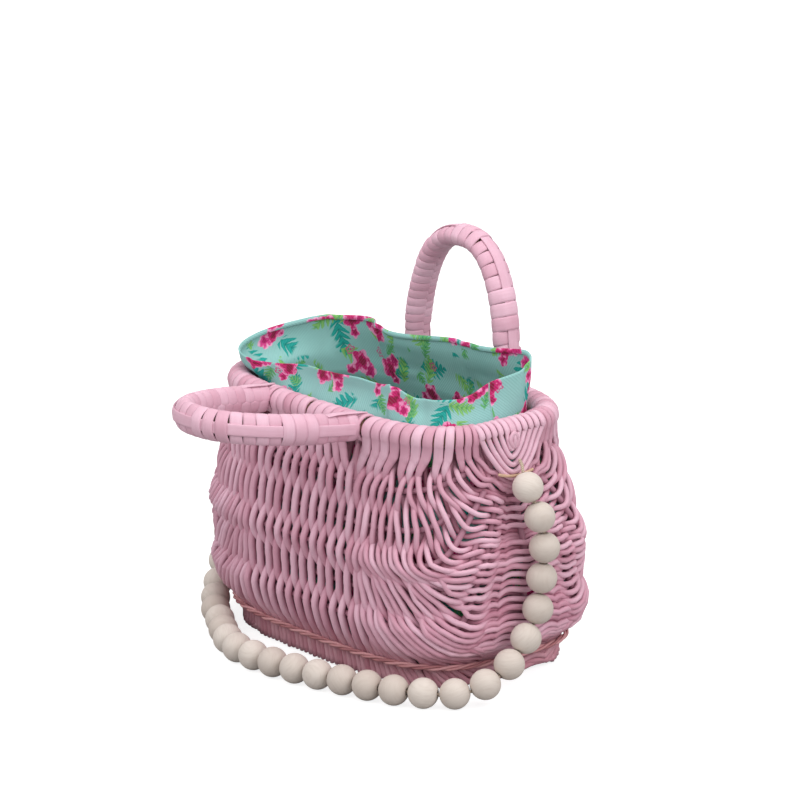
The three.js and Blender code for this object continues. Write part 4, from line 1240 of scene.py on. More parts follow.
def one_turn(steps, n, middle_s, where):
    """Turn n: an ellipse of TURN_HALF about the core, lifted near the long strip."""
    phase = 2 * math.pi * (steps - n)
    near = np.exp(-(np.degrees(phase) / LIFT_ANGLE) ** 4)
    lift = near * (LIFT if n % PATTERN in OVER_TURNS else 0.0)
    point, out = arch_frame(where * TILT + middle_s * (1 - TILT))
    from_end = min(middle_s, arch_total - middle_s)
    slim = LEG_SLIMMER * (1 - smooth((from_end - SLIM_TO) / SLIM_OVER))
    half = TURN_HALF[0] + lift, TURN_HALF[1] - slim
    path = (point + out * (half[0] * np.cos(phase))[:, None]
            + ACROSS * (half[1] * np.sin(phase))[:, None])
    face = unit(out * (np.cos(phase) / half[0])[:, None] + ACROSS * (np.sin(phase) / half[1])[:, None])
    return path, face


def binding(pitch_low, pitch_high, tone_seed):
    """One strip wound from leg to leg, with its pitch going over from one value to the other."""
    start, end = BINDING_START, arch_total - BINDING_START
    s = np.linspace(start, end, WINDING_STEPS)
    pitch = pitch_low + (pitch_high - pitch_low) * smooth((s - start) / (end - start) * 1.5 - 0.25)
    turn = np.r_[0, np.cumsum(np.diff(s) / pitch[:-1])]
    count = int(turn[-1])
    turn *= count / turn[-1]
    local = np.random.default_rng(tone_seed)
    parts = []
    for n in range(count + 1):
        steps = np.linspace(n - 0.5, n + 0.5, TURN_POINTS + 1)
        where = np.interp(np.clip(steps, 0, count), turn, s)
        path, face = one_turn(steps, n, np.interp(n, turn, s), where)
        width = np.interp(n + 1, turn, s) - np.interp(n, turn, s) if n < count else LAST_WIDTH
        wide = STRIP_OVERLAP * width * local.uniform(0.97, 1.02)
        parts.append(tube(path, face, wide, STRIP_THICK, sides=10, tone=local.uniform(0.5, 1), square=2.8))
    return parts


print("the binding covers", round(arch_total - 2 * BINDING_START), "mm of the arch")


# %% [markdown]
# At each leg three rings of split cane hold the handle on the hoop and let it turn, and the
# binding ends there in a tail that is cut to a point.

# %% Long strip, rings and tails
LONG_STRIP_START, LONG_STRIP_UP = 11, 1.1
LONG_STRIP_HALF, LONG_STRIP_THICK = 3.9, 0.7
RING_RADIUS, RING_POINTS = 8.15, 40
RING_HALF, RING_THICK = 2.1, 1.1
# mm aside from the leg, and tone
RINGS = [(-4.1, 0.5), (0, 0.9), (4.1, 0.6)]
# share of the leg's place, mm out, mm up and half width
TAIL = [(1, 8.4, 30, 3.4), (1, 9.3, 24, 3.4), (1, 9.5, 16, 3.2), (1, 9.5, 9, 2.6), (1.02, 9.6, 3, 1.6),
        (1.04, 9.5, -1, 0.5)]
TAIL_THICK = 0.6
CORE_START, CORE_HALF, CORE_THICK = 7.5, 5.9, 3.9


def long_strip():
    """The flat strip on the outside of the arch, just above the turns that go under it."""
    s = np.linspace(LONG_STRIP_START, arch_total - LONG_STRIP_START, 220)
    point, out = arch_frame(s)
    path = point + out * (TURN_HALF[0] + LONG_STRIP_UP)
    return [tube(path, out, LONG_STRIP_HALF, LONG_STRIP_THICK, sides=12, tone=0.8, square=2.6)]


def eye_rings():
    """Three turns of split cane round the hoop at each end of the arch."""
    parts = []
    around = np.linspace(0, 2 * math.pi, RING_POINTS, endpoint=False)
    for x in (-LEG, LEG):
        for shift, tone in RINGS:
            path = np.stack([np.full(RING_POINTS, x + shift), RING_RADIUS * np.sin(around),
                             RING_RADIUS * np.cos(around)], axis=1)
            face = np.stack([np.zeros(RING_POINTS), np.sin(around), np.cos(around)], axis=1)
            parts.append(tube(path, face, RING_HALF, RING_THICK, 10, tone, 2.2, closed=True))
    return parts


def tails():
    """The binding's two ends over the rings: aside, out, height and half width by TAIL."""
    parts = []
    for x in (-LEG, LEG):
        path = np.array([[x * aside, out, height] for aside, out, height, _ in TAIL])
        wide = [point[3] for point in TAIL]
        parts.append(tube(path, [0, 1, 0], wide, TAIL_THICK, sides=10, tone=0.9, square=2.6))
    return parts


def bare_core():
    """The bent cane inside the binding."""
    s = np.linspace(CORE_START, arch_total - CORE_START, 120)
    point, out = arch_frame(s)
    return [tube(point, out, CORE_HALF, CORE_THICK, sides=14, tone=0.4)]


print("rings at each eye:", len(eye_rings()) // 2)


# %% Both handles
# name, side, degrees folded out, pitch of the binding at one leg and at the other
HANDLES = [("front", -1, 82.2, 7.7, 7.7), ("rear", 1, 4.3, 8.6, 5.6)]

for name, side, degrees, low, high in HANDLES:
    body = f"{name}_handle"
    bound = binding(low, high, side + 5) + eye_rings() + tails()
    piece(f"{body}_binding", [turned(p, side, degrees) for p in bound], painted, body, [f"{body}_wrap"])
    piece(f"{body}_long_strip", [turned(p, side, degrees) for p in long_strip()], painted, body,
          [f"{body}_spine"])
    piece(f"{body}_cane", [turned(p, side, degrees) for p in bare_core()], cane, body,
          [f"{body}_core"])

# %% [markdown]
# ## Bead strap
# The string leaves the right knot, runs through thirty bored beads, hangs down the belly, lies
# along the floor in front and climbs to the left knot. A strap like this could be dropped by a
# simulation. Here each bead's place was read from the photograph and is in the frame, and the
# string goes straight through every bead and bends between them.

# %% The string's way
BEADS = 30
BEAD_RADIUS = 10
CORD_RADIUS = 1.1
BEAD_END = 9
STRAP_POINTS = 400
ENDS = (np.array([[134.9, -0.5, 150.5], [138.4, -1.6, 148.2]]),
        np.array([[-137.6, -1, 147.6], [-134.9, -0.5, 150.5]]))

boxes = [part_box(f"strap_bead_{i:02d}") for i in range(1, BEADS + 1)]
centres = np.array([np.mean(box, axis=0) / MM for box in boxes])
route = np.vstack([ENDS[0], centres, ENDS[1]])
bead_along = unit(route[3:-1] - route[1:-3])


def strap_path():
    """The string's line: in, middle and out of every bead, at even distances, and its length."""
    points = [ENDS[0][0], ENDS[0][1]]
    for centre, axis in zip(centres, bead_along):
        points += [centre - axis * BEAD_END, centre, centre + axis * BEAD_END]
    points += [ENDS[1][0], ENDS[1][1]]
    points = np.array(points)
    lengths = measured(points)
    return by_length(points, lengths, np.linspace(0, lengths[-1], STRAP_POINTS)), lengths[-1]


strap, strap_length = strap_path()
print("the string is", round(strap_length), "mm long")

# %% [markdown]
# A bead is turned on a lathe, and the mesh is made the same way: a profile, that is the ball's
# outline and the wall of the bore, goes round the bead's axis. It closes on itself, so the hole
# is real and the string can be seen to enter it.

# %% Bored beads
BORE_MOUTH, BORE_WALL = 2.4, 2.2
MOUTH_EASE = 0.3
BEAD_ROUND, BEAD_PROFILE, BORE_STEPS = 40, 30, 6
BEADS_IN_GROUP = 5
GRAIN_SHIFT = 300


def bead(centre, axis, tone):
    """A ball's arc from bore to bore and a straight wall through it, swept round the axis."""
    bore = math.asin(BORE_MOUTH / BEAD_RADIUS)
    latitude = np.linspace(bore, math.pi - bore, BEAD_PROFILE)
    profile = [(BEAD_RADIUS * math.sin(a), -BEAD_RADIUS * math.cos(a)) for a in latitude]
    wall_ends = profile[-1][1] - MOUTH_EASE, profile[0][1] + MOUTH_EASE
    profile = np.array(profile + [(BORE_WALL, z) for z in np.linspace(*wall_ends, BORE_STEPS)])
    around = np.linspace(0, 2 * math.pi, BEAD_ROUND, endpoint=False)
    side = unit(np.cross(axis, [0.3, 0.2, 1.0]))
    lift = np.cross(side, axis)
    ring = side * np.cos(around)[:, None] + lift * np.sin(around)[:, None]
    local = (profile[:, :1, None] * ring + profile[:, 1:, None] * axis[None, None]).reshape(-1, 3)
    tilt = np.linalg.qr(rng.normal(size=(3, 3)))[0]
    return {"points": centre + local, "quads": quads(len(profile), BEAD_ROUND, close_rows=True),
            "tone": np.full(len(local), tone), "grain": local @ tilt + tone * GRAIN_SHIFT}


for g in range(BEADS // BEADS_IN_GROUP):
    chosen = range(BEADS_IN_GROUP * g, BEADS_IN_GROUP * (g + 1))
    parts = [bead(centres[i], bead_along[i], rng.uniform(0, 1)) for i in chosen]
    piece(f"beads_{g + 1}", parts, wood,
                        replaces=[f"strap_bead_{i + 1:02d}" for i in chosen])

# %% The string
cord_piece = piece("strap_string", [tube(strap, [0, 0, 1], CORD_RADIUS, CORD_RADIUS, 10)], string,
                   replaces=["strap_cord"])

# %% [markdown]
# ## Liner
# The liner is one sewn bag: floor, walls that rest on the ribs, a mouth inside the rim and a
# collar that stands up in soft folds. Cloth is usually draped by a simulation. This collar has
# known folds at known places, so it is shaped from listed values: HEM gives its height and LEAN
# how far it leans inwards, at 48 places round the mouth.

# %% Hem, ripples and folds
HEM = np.array([196, 198, 200, 203, 207, 205.8, 204.4, 203.3, 202.5, 202.3, 201.6, 200.4, 198.8, 197.4,
                196, 195.1, 194.4, 194.6, 199.9, 199.5, 198.5, 197.6, 197.3, 195.4, 194, 192.4, 190,
                187.5, 186, 185.6, 185, 185.6, 187, 188, 188.7, 189.4, 190, 190.5, 191.2, 190.5, 190.7,
                193.1, 189.2, 187.1, 187.9, 188.4, 188.5, 190.5])
LEAN = np.array([3, 1, -2, -4, -3, 2, 6, 8, 8.5, 8, 7, 6.5, 6.5, 7, 8, 8.5, 8, 7, 5, 4, 3, 1, -2, -5, -7,
                 -8, -9, -10, -9, -5, 0, 5, 8, 8.5, 8, 7, 6.5, 6.5, 7, 8, 8.5, 8, 7, 6, 5, 5, 4, 4])
PLACES = len(HEM)
LOOP = 480
MOUTH = (109.7, 49.7)


def around(values, spread_over=1.0):
    """Values at even places round the mouth, made smooth by a weighted mean of neighbours."""
    where = np.linspace(0, len(values), LOOP, endpoint=False)
    plain = np.interp(where, np.arange(len(values) + 1), np.r_[values, values[0]])
    width = int(LOOP / len(values) * spread_over)
    kernel = np.hanning(2 * width + 3)[1:-1]
    kernel /= kernel.sum()
    return np.convolve(np.r_[plain[-width:], plain, plain[:width]], kernel, mode="valid")


def wave(seed, count):
    """An uneven ripple round the mouth: count cosines with random heights and starts."""
    local = np.random.default_rng(seed)
    phase = np.linspace(0, 2 * math.pi, LOOP, endpoint=False)
    total_wave = 0
    for m in range(2, 2 + count):
        height = local.normal()
        total_wave = total_wave + height * np.cos(m * phase + local.uniform(0, 6.3)) / math.sqrt(count)
    return total_wave


def fold(at, width, height):
    """One fold round place at: a bell of this width and height, 0 elsewhere."""
    where = np.arange(LOOP) / LOOP * PLACES
    gap = (where - at + PLACES / 2) % PLACES - PLACES / 2
    return height * np.exp(-(gap / width) ** 2)


print("heights round the hem are given at", PLACES, "places")


# %% [markdown]
# The collar is built in rows from the mouth to the hem. Every row is the mouth's outline moved
# out or in: by its lean, by the creases of the photograph, by a ripple, over the rim at the
# left, and inwards by the handles' legs, which need room to fold.

# %% Collar
COLLAR_FOOT, COLLAR_FREE = 158, 167
COLLAR_ROWS = 30
# place round the mouth, width in places, mm outwards
CREASES = [(41, 0.22, 3.2), (43.4, 0.4, -2.0), (17.6, 0.18, -2.6), (21.4, 0.35, 2.0), (29.2, 0.3, 2.4),
           (2.6, 0.4, -2.0), (9.5, 0.5, -1.5), (34.5, 0.5, 1.2)]
OVER_RIM = (26.8, 3.2, 4.5)
RIPPLE, SWELL = 0.9, 1.2
RIM_FOLD_FROM, RIM_FOLD_RISE = 169, 9
BY_LEGS, LEG_WIDTH, LEG_DEPTH = (7.8, 16.2, 32.2, 40.4), 1.7, 2.6
LEG_RISE, LEG_EASE_FROM, LEG_EASE = 8, 174, 0.6
LEAN_RAMP, CREASE_RAMP = 1.3, 1.6
UPWARDS = np.array([0, 0, 1])

hem, lean = around(HEM, 0.6), around(LEAN)
mouth, mouth_length = outline(*MOUTH, LOOP, 0)
mouth_along = np.roll(mouth, -1, axis=0) - np.roll(mouth, 1, axis=0)
mouth_out = unit(np.cross(mouth_along, [0, 0, 1]))
crease = sum(fold(*one) for one in CREASES)
ripple = wave(3, 9) * RIPPLE
over_rim = fold(*OVER_RIM)
by_leg = sum(fold(at, LEG_WIDTH, LEG_DEPTH) for at in BY_LEGS)
collar = []
for f in np.linspace(0, 1, COLLAR_ROWS):
    z = COLLAR_FOOT + f * (hem - COLLAR_FOOT)
    h = np.clip((z - COLLAR_FREE) / (hem - COLLAR_FREE), 0, 1)
    swell = SWELL * np.sin(math.pi * h) * wave(5, 6)
    off = -lean * smooth(h * LEAN_RAMP) + (crease + ripple) * smooth(h * CREASE_RAMP) + swell
    off = off + over_rim * smooth((z - RIM_FOLD_FROM) / RIM_FOLD_RISE)
    eased_off = 1 - LEG_EASE * smooth((z - LEG_EASE_FROM) / LEG_RISE)
    off = off - by_leg * smooth((z - COLLAR_FOOT) / LEG_RISE) * eased_off
    collar.append(mouth + mouth_out * off[:, None] + UPWARDS * z[:, None])
collar = np.array(collar)
print("the collar stands", np.round(hem.min() - COLLAR_FREE), "to", np.round(hem.max() - COLLAR_FREE),
      "mm over the hoop")

# %% [markdown]
# Below the mouth the walls follow the inside of the ribs with a little slack, and rings close
# the floor. The hem is turned in, so that the edge shows the thickness of a double cloth.

# %% Walls, floor and hem
# height, half length and half width of the lining
LINING = np.array([[157.7, 109.7, 49.7], [131, 121.7, 61.5], [106, 127.2, 65.7], [86, 132.7, 71],
                   [64, 128.7, 68.2], [44, 132.2, 71], [28, 126.7, 66.7], [12.4, 104, 58]])
LINING_FOOT, LINING_BELLY = 12.4, 28
SLACK_OVER = 20
SLACK, SLACK_WAVE = 0.9, 0.8
SLACK_BAND = 22
FLOOR_SIZE, FLOOR_HEIGHT = (104, 58), 12.5
FLOOR_MIDDLE, FLOOR_RIPPLE = 0.06, 0.5
# mm inwards and mm up for the three rows of the turned hem
TURN_IN = [(0.9, 0.1), (1.5, -2.2), (1.2, -3)]

walls = []
low_heights = np.linspace(LINING_FOOT, LINING_BELLY, 7)[:-1]
for z in np.concatenate([low_heights, np.linspace(LINING_BELLY, BODY_TOP, 40)[:-1]]):
    half = [np.interp(z, LINING[::-1, 0], LINING[::-1, k]) for k in (1, 2)]
    loop, _ = outline(*half, LOOP, z)
    centre_out = unit(loop * [1, 1, 0])
    slack = smooth((z - LINING_FOOT) / SLACK_OVER) * smooth((BODY_TOP - z) / SLACK_OVER)
    slack = slack * (SLACK + SLACK_WAVE * np.abs(wave(int(z / SLACK_BAND), 12)))
    walls.append(loop - centre_out * slack[:, None])
walls = np.array(walls)

floor_rings = []
for f in np.linspace(FLOOR_MIDDLE, 1, 16)[:-1]:
    loop, _ = outline(FLOOR_SIZE[0] * f, FLOOR_SIZE[1] * f, LOOP, FLOOR_HEIGHT)
    loop[:, 2] += FLOOR_RIPPLE * wave(40, 7) * f * (1 - f) * 4
    floor_rings.append(loop)
floor_rings = np.array(floor_rings)

tucked = [collar[-1] - mouth_out * inwards + UPWARDS * rise for inwards, rise in TURN_IN]
cloth = np.concatenate([floor_rings, walls, collar, tucked])
rows = len(cloth)
print("the cloth has", rows, "rows of", LOOP, "points")

# %% [markdown]
# A print is made on flat cloth, so the liner needs flat coordinates in metres: u runs round the
# mouth and v up the wall, by the mean distance from row to row. The floor is cut on its own.

# %% Flat coordinates
FLOOR_APART = 2.0

rise = np.r_[0, np.cumsum(np.linalg.norm(np.diff(cloth, axis=0), axis=2).mean(axis=1))]
u = np.broadcast_to(np.linspace(0, mouth_length, LOOP, endpoint=False), (rows, LOOP))
v = np.broadcast_to(rise[:, None], (rows, LOOP))
cloth_uv = np.stack([u, v], axis=-1) * MM
cloth_uv[:len(floor_rings)] = cloth[:len(floor_rings), :, :2] * MM + FLOOR_APART
print("flat, the walls and the collar are", round(mouth_length), "by", round(rise[-1]), "mm")

# %% [markdown]
# ## Printed twill
# The print is a pale mint ground with clusters of roses, ferny leaves and small outlined
# blossoms. An image could be painted for it. Drawn with nodes it stays sharp at any distance.
# Each kind of motif sits in its own pattern of uneven cells. The group gives for a point
# of the cloth how far it is from the cell's middle, at what angle, where in a turned copy of
# the cell, and as Edge a random number of its own, by which motifs are chosen.

# %% The motif group
VECTOR = "NodeSocketVector"
SCATTER = 0.72
FULL_TURN = 6.283

cell, entry, result = new_group(
    "motif_cell", [("Place", VECTOR), ("Size", FLOAT), ("Shift", VECTOR)],
    [("Radius", FLOAT), ("Angle", FLOAT), ("Across", VECTOR), ("Edge", FLOAT)])
scaled = node(cell, "ShaderNodeVectorMath", {0: entry.outputs["Place"]}, operation="SCALE")
cell.links.new(entry.outputs["Size"], scaled.inputs["Scale"])
shifted = vector(cell, "ADD", scaled.outputs[0], entry.outputs["Shift"])
voronoi = node(cell, "ShaderNodeTexVoronoi", {"Vector": shifted, "Scale": 1.0, "Randomness": SCATTER},
               voronoi_dimensions="2D")
from_middle = vector(cell, "SUBTRACT", shifted, voronoi.outputs["Position"])
colours = node(cell, "ShaderNodeSeparateColor", {"Color": voronoi.outputs["Color"]})
spin = {"Vector": from_middle, "Angle": maths(cell, "MULTIPLY", colours.outputs[0], FULL_TURN)}
spun = node(cell, "ShaderNodeVectorRotate", spin, rotation_type="Z_AXIS").outputs[0]
parts_xyz = node(cell, "ShaderNodeSeparateXYZ", {0: spun})
turned_angle = maths(cell, "ARCTAN2", parts_xyz.outputs[1], parts_xyz.outputs[0])
for label, value in (("Radius", voronoi.outputs["Distance"]), ("Angle", turned_angle), ("Across", spun),
                     ("Edge", colours.outputs[1])):
    cell.links.new(value, result.inputs[label])
print("group", cell.name, "has", len(cell.nodes), "nodes")

# %% [markdown]
# Dye spreads a little in the threads. A fine noise therefore moves every point of the print by
# a fraction of a millimetre before anything is drawn. The ground itself is two mints.

# %% Ground of the print
WARP_SCALE, WARP_METRES = 160.0, 0.0028
MINT_DEEP, MINT_PALE = (0.24, 0.515, 0.49, 1), (0.33, 0.59, 0.56, 1)

printed, tree, shader = new_material("floral_twill", 0.72, Specular_IOR_Level=0.2)
plain_uv = node(tree, "ShaderNodeUVMap", uv_map="cloth").outputs[0]
warp = noise(tree, plain_uv, WARP_SCALE, 2.0).outputs["Color"]
warp = vector(tree, "SUBTRACT", warp, (0.5, 0.5, 0.5))
warp = node(tree, "ShaderNodeVectorMath", {0: warp, "Scale": WARP_METRES}, operation="SCALE").outputs[0]
cloth_place = vector(tree, "ADD", plain_uv, warp)


def motif(size_mm, shift):
    """Cells of this size; the shift keeps one kind of motif apart from the next."""
    return use_group(tree, cell, {"Place": cloth_place, "Size": 1000 / size_mm, "Shift": shift})


def inside(value, edge, softness):
    """1 where the value is under the edge, falling to 0 over the softness beyond it."""
    return spread(tree, value, edge, edge + softness, 1.0, 0.0)


ground_noise = noise(tree, plain_uv, 30.0, 3.0).outputs["Fac"]
colour = mixed(tree, ground_noise, MINT_DEEP, MINT_PALE)
print(printed.name, "has", len(tree.nodes), "nodes with its ground")

# %% [markdown]
# Roses come in clusters of three in a cell, and a few cells stay empty. A flower's edge is a
# circle with five lobes, so its outline goes in and out five times round.

# %% Roses as masks
CLUSTER_MM = 33
LOBES = 5
LOBE_BASE, LOBE_DEPTH = 0.78, 0.26
PETAL_EDGE = 0.012

rose = motif(CLUSTER_MM, (6.4, 1.1, 0))
has_rose = spread(tree, rose.outputs["Edge"], 0.07, 0.08)


def flower(middle, size):
    """How deep a point lies in a flower, as its distance over the edge's, and the flower's mask.

    The edge is size times 0.78 plus 0.26 times the bare sine of 2.5 times the angle.
    """
    moved = vector(tree, "SUBTRACT", rose.outputs["Across"], middle)
    xyz = node(tree, "ShaderNodeSeparateXYZ", {0: moved})
    reach = node(tree, "ShaderNodeVectorMath", {0: moved}, operation="LENGTH").outputs["Value"]
    turn = maths(tree, "ARCTAN2", xyz.outputs[1], xyz.outputs[0])
    lobes = maths(tree, "ABSOLUTE", maths(tree, "SINE", maths(tree, "MULTIPLY", turn, LOBES / 2)))
    lobed = maths(tree, "ADD", LOBE_BASE, maths(tree, "MULTIPLY", lobes, LOBE_DEPTH))
    edge = maths(tree, "MULTIPLY", size, lobed)
    mask = spread(tree, maths(tree, "SUBTRACT", edge, reach), 0.0, PETAL_EDGE)
    return maths(tree, "DIVIDE", reach, edge), maths(tree, "MULTIPLY", mask, has_rose)


print("a cluster of roses every", CLUSTER_MM, "mm or so")


# %% [markdown]
# Leaves go on first, because the roses are printed over them. A leaf is a long pointed shape
# whose edge is cut into leaflets by a sine that slants back from the middle rib. Only those
# near a cluster are kept, so that they seem to grow out of it.

# %% Leaves
# cell in mm, shift, how near to a cluster, and the two greens
LEAVES = [(31, (0.4, 2.2, 0), 0.60, ((0.0, 0.20, 0.17, 1), (0.01, 0.36, 0.31, 1))),
          (26, (5.4, 0.9, 0), 0.56, ((0.06, 0.32, 0.06, 1), (0.24, 0.54, 0.15, 1))),
          (20, (7.7, 3.3, 0), 0.52, ((0.02, 0.24, 0.10, 1), (0.14, 0.45, 0.15, 1)))]
LEAF_HALF_LENGTH, RIB_WIDTH, LEAFLET_REACH = 0.47, 0.04, 0.22
LEAFLETS, LEAFLET_SLANT = 20, 0.9
LEAF_EDGE, NEAR_EDGE = 0.03, 0.05

for size, shift, near, palette in LEAVES:
    leaf = motif(size, shift)
    xyz = node(tree, "ShaderNodeSeparateXYZ", {0: leaf.outputs["Across"]})
    off_rib = maths(tree, "ABSOLUTE", xyz.outputs[1])
    length_share = maths(tree, "DIVIDE", xyz.outputs[0], LEAF_HALF_LENGTH)
    taper = maths(tree, "SUBTRACT", 1.0, maths(tree, "MULTIPLY", length_share, length_share))
    slant = maths(tree, "SUBTRACT", xyz.outputs[0], maths(tree, "MULTIPLY", off_rib, LEAFLET_SLANT))
    leaflet = maths(tree, "ABSOLUTE", maths(tree, "SINE", maths(tree, "MULTIPLY", slant, LEAFLETS)))
    toothed = maths(tree, "ADD", RIB_WIDTH, maths(tree, "MULTIPLY", leaflet, LEAFLET_REACH))
    reach = maths(tree, "MULTIPLY", taper, toothed)
    leaf_mask = spread(tree, maths(tree, "SUBTRACT", reach, off_rib), 0.0, LEAF_EDGE)
    wanted = maths(tree, "MULTIPLY", inside(rose.outputs["Radius"], near, NEAR_EDGE),
                   spread(tree, leaf.outputs["Edge"], 0.25, 0.27))
    leaf_colour = mixed(tree, leaflet, palette[0], palette[1])
    colour = mixed(tree, maths(tree, "MULTIPLY", leaf_mask, wanted), colour, leaf_colour)
print("leaf sizes, mm:", [round(size * 2 * LEAF_HALF_LENGTH) for size, *_ in LEAVES])

# %% [markdown]
# One blossom in five cells is a thin ring that waves five times round, with a dot as its heart.

# %% Small blossoms
BLOSSOM_MM, BLOSSOM_PINK = 17, (0.60, 0.09, 0.25, 1)
BLOSSOM_RADIUS, BLOSSOM_WAVE = 0.15, 0.035
LINE_HALF, LINE_EDGE, HEART_RADIUS = 0.02, 0.02, 0.05

small = motif(BLOSSOM_MM, (1.3, 4.8, 0))
petals = maths(tree, "SINE", maths(tree, "MULTIPLY", small.outputs["Angle"], LOBES))
bloom = maths(tree, "MULTIPLY", petals, BLOSSOM_WAVE)
ring_radius = maths(tree, "ADD", BLOSSOM_RADIUS, bloom)
line_gap = maths(tree, "ABSOLUTE", maths(tree, "SUBTRACT", small.outputs["Radius"], ring_radius))
chosen_few = spread(tree, small.outputs["Edge"], 0.80, 0.81)
outline_mask = maths(tree, "MULTIPLY", inside(line_gap, LINE_HALF, LINE_EDGE), chosen_few)
heart = maths(tree, "MULTIPLY", inside(small.outputs["Radius"], HEART_RADIUS, LINE_EDGE), chosen_few)
colour = mixed(tree, maths(tree, "MAXIMUM", outline_mask, heart), colour, BLOSSOM_PINK)
print("a blossom is", round(2 * BLOSSOM_RADIUS * BLOSSOM_MM, 1), "mm across")

# %% [markdown]
# The roses look painted with a wet brush: deep pink in the middle, then red, and pale at the
# rim of a petal. Their depth and two sizes of noise are added up, and thresholds of the sum
# change the colour. The smaller flowers of a cluster come first and the large one lies on top.

# %% Roses in colour
# middle and size in the cell, then the deep, the middle and the pale pink
ROSES = [((-0.10, 0.24, 0), 0.13, (0.38, 0.0, 0.08, 1), (0.70, 0.03, 0.23, 1), (0.86, 0.34, 0.56, 1)),
         ((0.25, -0.02, 0), 0.17, (0.46, 0.0, 0.12, 1), (0.74, 0.04, 0.26, 1), (0.90, 0.44, 0.64, 1)),
         ((-0.02, -0.03, 0), 0.235, (0.27, 0.0, 0.045, 1), (0.60, 0.006, 0.15, 1), (0.88, 0.30, 0.54, 1))]
DEPTH_WEIGHT, WASH_WEIGHT, FINE_WEIGHT = 0.62, 1.25, 0.5
MID_FROM, MID_TO, PALE_FROM, PALE_TO = 1.06, 1.20, 1.30, 1.48

wash = noise(tree, plain_uv, 190.0, 2.0).outputs["Fac"]
fine_wash = noise(tree, plain_uv, 420.0, 1.0).outputs["Fac"]
for middle, size, deep, mid, pale in ROSES:
    depth_in, mask = flower(middle, size)
    petal = maths(tree, "ADD", maths(tree, "MULTIPLY", depth_in, DEPTH_WEIGHT),
                  maths(tree, "MULTIPLY", wash, WASH_WEIGHT))
    petal = maths(tree, "ADD", petal, maths(tree, "MULTIPLY", fine_wash, FINE_WEIGHT))
    rose_colour = mixed(tree, spread(tree, petal, MID_FROM, MID_TO), deep, mid)
    rose_colour = mixed(tree, spread(tree, petal, PALE_FROM, PALE_TO), rose_colour, pale)
    colour = mixed(tree, mask, colour, rose_colour)
print("roses are", [round(2 * CLUSTER_MM * size) for _, size, *_ in ROSES], "mm across")

# %% [markdown]
# Twill shows fine slanting ridges. A sine of u plus v gives them, darker in the grooves as painted
# shade, and raised in the normal. Then the cloth gets its print and hangs on the hoop.

# %% Twill ridges
TWILL_METRES = 0.0022
# colour in the grooves: painted shade
GROOVE_SHADE = (0.20, 0.42, 0.40, 1)

twill = node(tree, "ShaderNodeVectorMath", {0: plain_uv, 1: (1, 1, 0)}, operation="DOT_PRODUCT")
ridge = maths(tree, "SINE", maths(tree, "MULTIPLY", twill.outputs["Value"], 2 * math.pi / TWILL_METRES))
colour = mixed(tree, spread(tree, ridge, -1, 1, 0.10, 0.0), colour, GROOVE_SHADE)
tree.links.new(colour, shader.inputs["Base Color"])
tree.links.new(bump(tree, ridge, 0.25, 0.0003), shader.inputs["Normal"])
print(printed.name, "has", len(tree.nodes), "nodes in all")

# %% The liner
sheet = {"points": cloth.reshape(-1, 3), "quads": quads(rows, LOOP), "caps": [np.arange(LOOP)[::-1]]}
liner = piece("liner", [sheet], printed, replaces=["liner_bag", "liner_collar"],
              uv=cloth_uv.reshape(-1, 2))
print("the cloth measures", round(sum(p.area for p in liner.data.polygons), 4), "square metres")

# %% [markdown]
# ## Floor and surroundings
# The photograph was taken on white: the ground is as bright as the background and has only a
# faint shadow. A pure white glow would swallow that shadow and a plain floor would be grey. So
# the floor reflects a little, and for the camera alone a glow is added to what it reflects.

# %% The floor
FLOOR_REACH = 6
FLOOR_GREY = (0.38, 0.38, 0.38, 1)
WHITE = (1, 1, 1, 1)
FLOOR_GLOW = 0.82

floor_mesh = bpy.data.meshes.new("floor")
floor_corners = [(x * FLOOR_REACH, y * FLOOR_REACH, 0) for x, y in ((-1, -1), (1, -1), (1, 1), (-1, 1))]
floor_mesh.from_pydata(floor_corners, [], [(0, 1, 2, 3)])
floor = bpy.data.objects.new("floor", floor_mesh)
bpy.context.scene.collection.objects.link(floor)
pale, tree, shader = new_material("pale_floor", 0.9)
shader.inputs["Base Color"].default_value = FLOOR_GREY
floor_mesh.materials.append(pale)
seen = node(tree, "ShaderNodeLightPath").outputs["Is Camera Ray"]
white = node(tree, "ShaderNodeEmission", {"Color": WHITE, "Strength": FLOOR_GLOW})
lit = node(tree, "ShaderNodeAddShader", {0: shader.outputs[0], 1: white.outputs[0]})
blend = node(tree, "ShaderNodeMixShader", {0: seen, 1: shader.outputs[0], 2: lit.outputs[0]})
tree.links.new(blend.outputs[0], tree.nodes["Material Output"].inputs["Surface"])
print("floor", 2 * FLOOR_REACH, "metres wide")

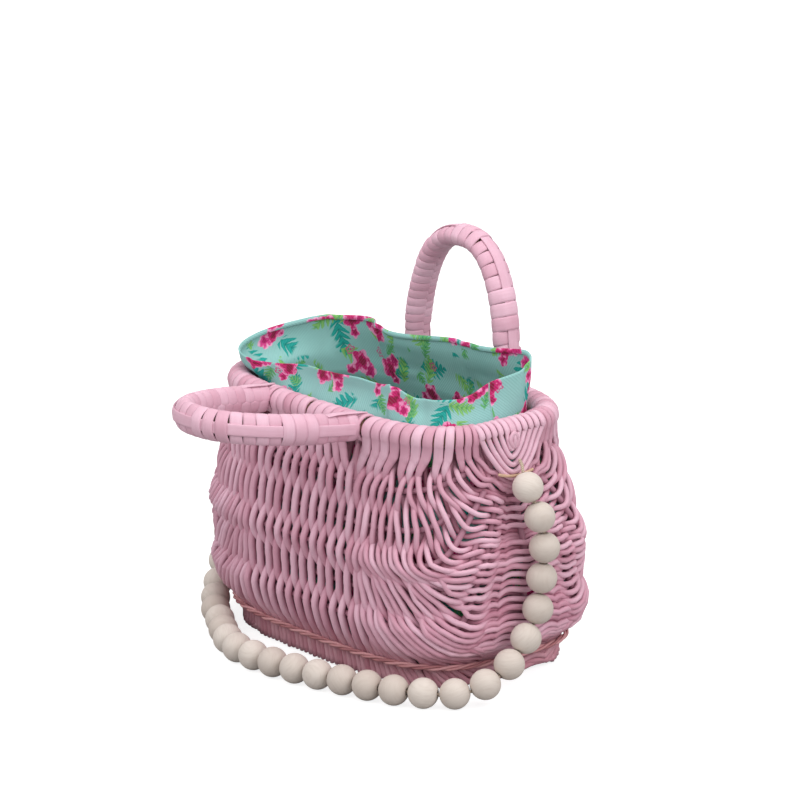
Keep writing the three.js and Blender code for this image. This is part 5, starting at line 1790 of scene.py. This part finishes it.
# %% [markdown]
# The sky does two jobs in the same way: it lights the bag softly from all sides, and seen by
# the camera it is plain white.

# %% The sky
SKY_LIGHT, SKY_SEEN = 0.72, 1.0

world = bpy.data.worlds.new("world")
bpy.context.scene.world = world
world.use_nodes = True
sky = world.node_tree
seen = node(sky, "ShaderNodeLightPath").outputs["Is Camera Ray"]
studio = sky.nodes["Background"]
studio.inputs["Color"].default_value = WHITE
studio.inputs["Strength"].default_value = SKY_LIGHT
plain = node(sky, "ShaderNodeBackground", {"Color": WHITE, "Strength": SKY_SEEN})
blend = node(sky, "ShaderNodeMixShader", {0: seen, 1: studio.outputs[0], 2: plain.outputs[0]})
sky.links.new(blend.outputs[0], sky.nodes["World Output"].inputs["Surface"])
print("sky gives", SKY_LIGHT, "and shows", SKY_SEEN)

# %% [markdown]
# ## Lamps
# Three large soft lamps shape the basket: a weak key from the front, a fill from the right that
# brightens the end face, and one from above for the rim and the upright handle. Small lamps
# would draw hard edges that the photograph doesn't have.

# %% The lamps
# name, place in metres, size in metres, power in watts
LAMPS = [("key", (-0.2, -1.7, 1.5), 1.0, 10), ("fill", (1.8, 0.1, 1.2), 1.2, 16),
         ("top", (0.2, 0.1, 2.2), 1.0, 15)]
LAMP_AIM = np.array([0, 0, 0.1])


def area_light(name, place_at, size, power):
    """A square lamp of this size in metres and power in watts that faces LAMP_AIM."""
    light = bpy.data.lights.new(name, "AREA")
    light.shape = "SQUARE"
    light.size = size
    light.energy = power
    made = bpy.data.objects.new(name, light)
    back = unit(np.array(place_at, float) - LAMP_AIM)
    sideways = unit(np.cross([0, 0, 1], back))
    matrix = np.eye(4)
    matrix[:3, :3] = np.stack([sideways, np.cross(back, sideways), back], axis=1)
    matrix[:3, 3] = place_at
    made.matrix_world = matrix.T.tolist()
    bpy.context.scene.collection.objects.link(made)


for name, place_at, size, power in LAMPS:
    area_light(name, place_at, size, power)
bpy.context.scene.view_settings.view_transform = "Standard"
print("lamps:", [lamp[0] for lamp in LAMPS])
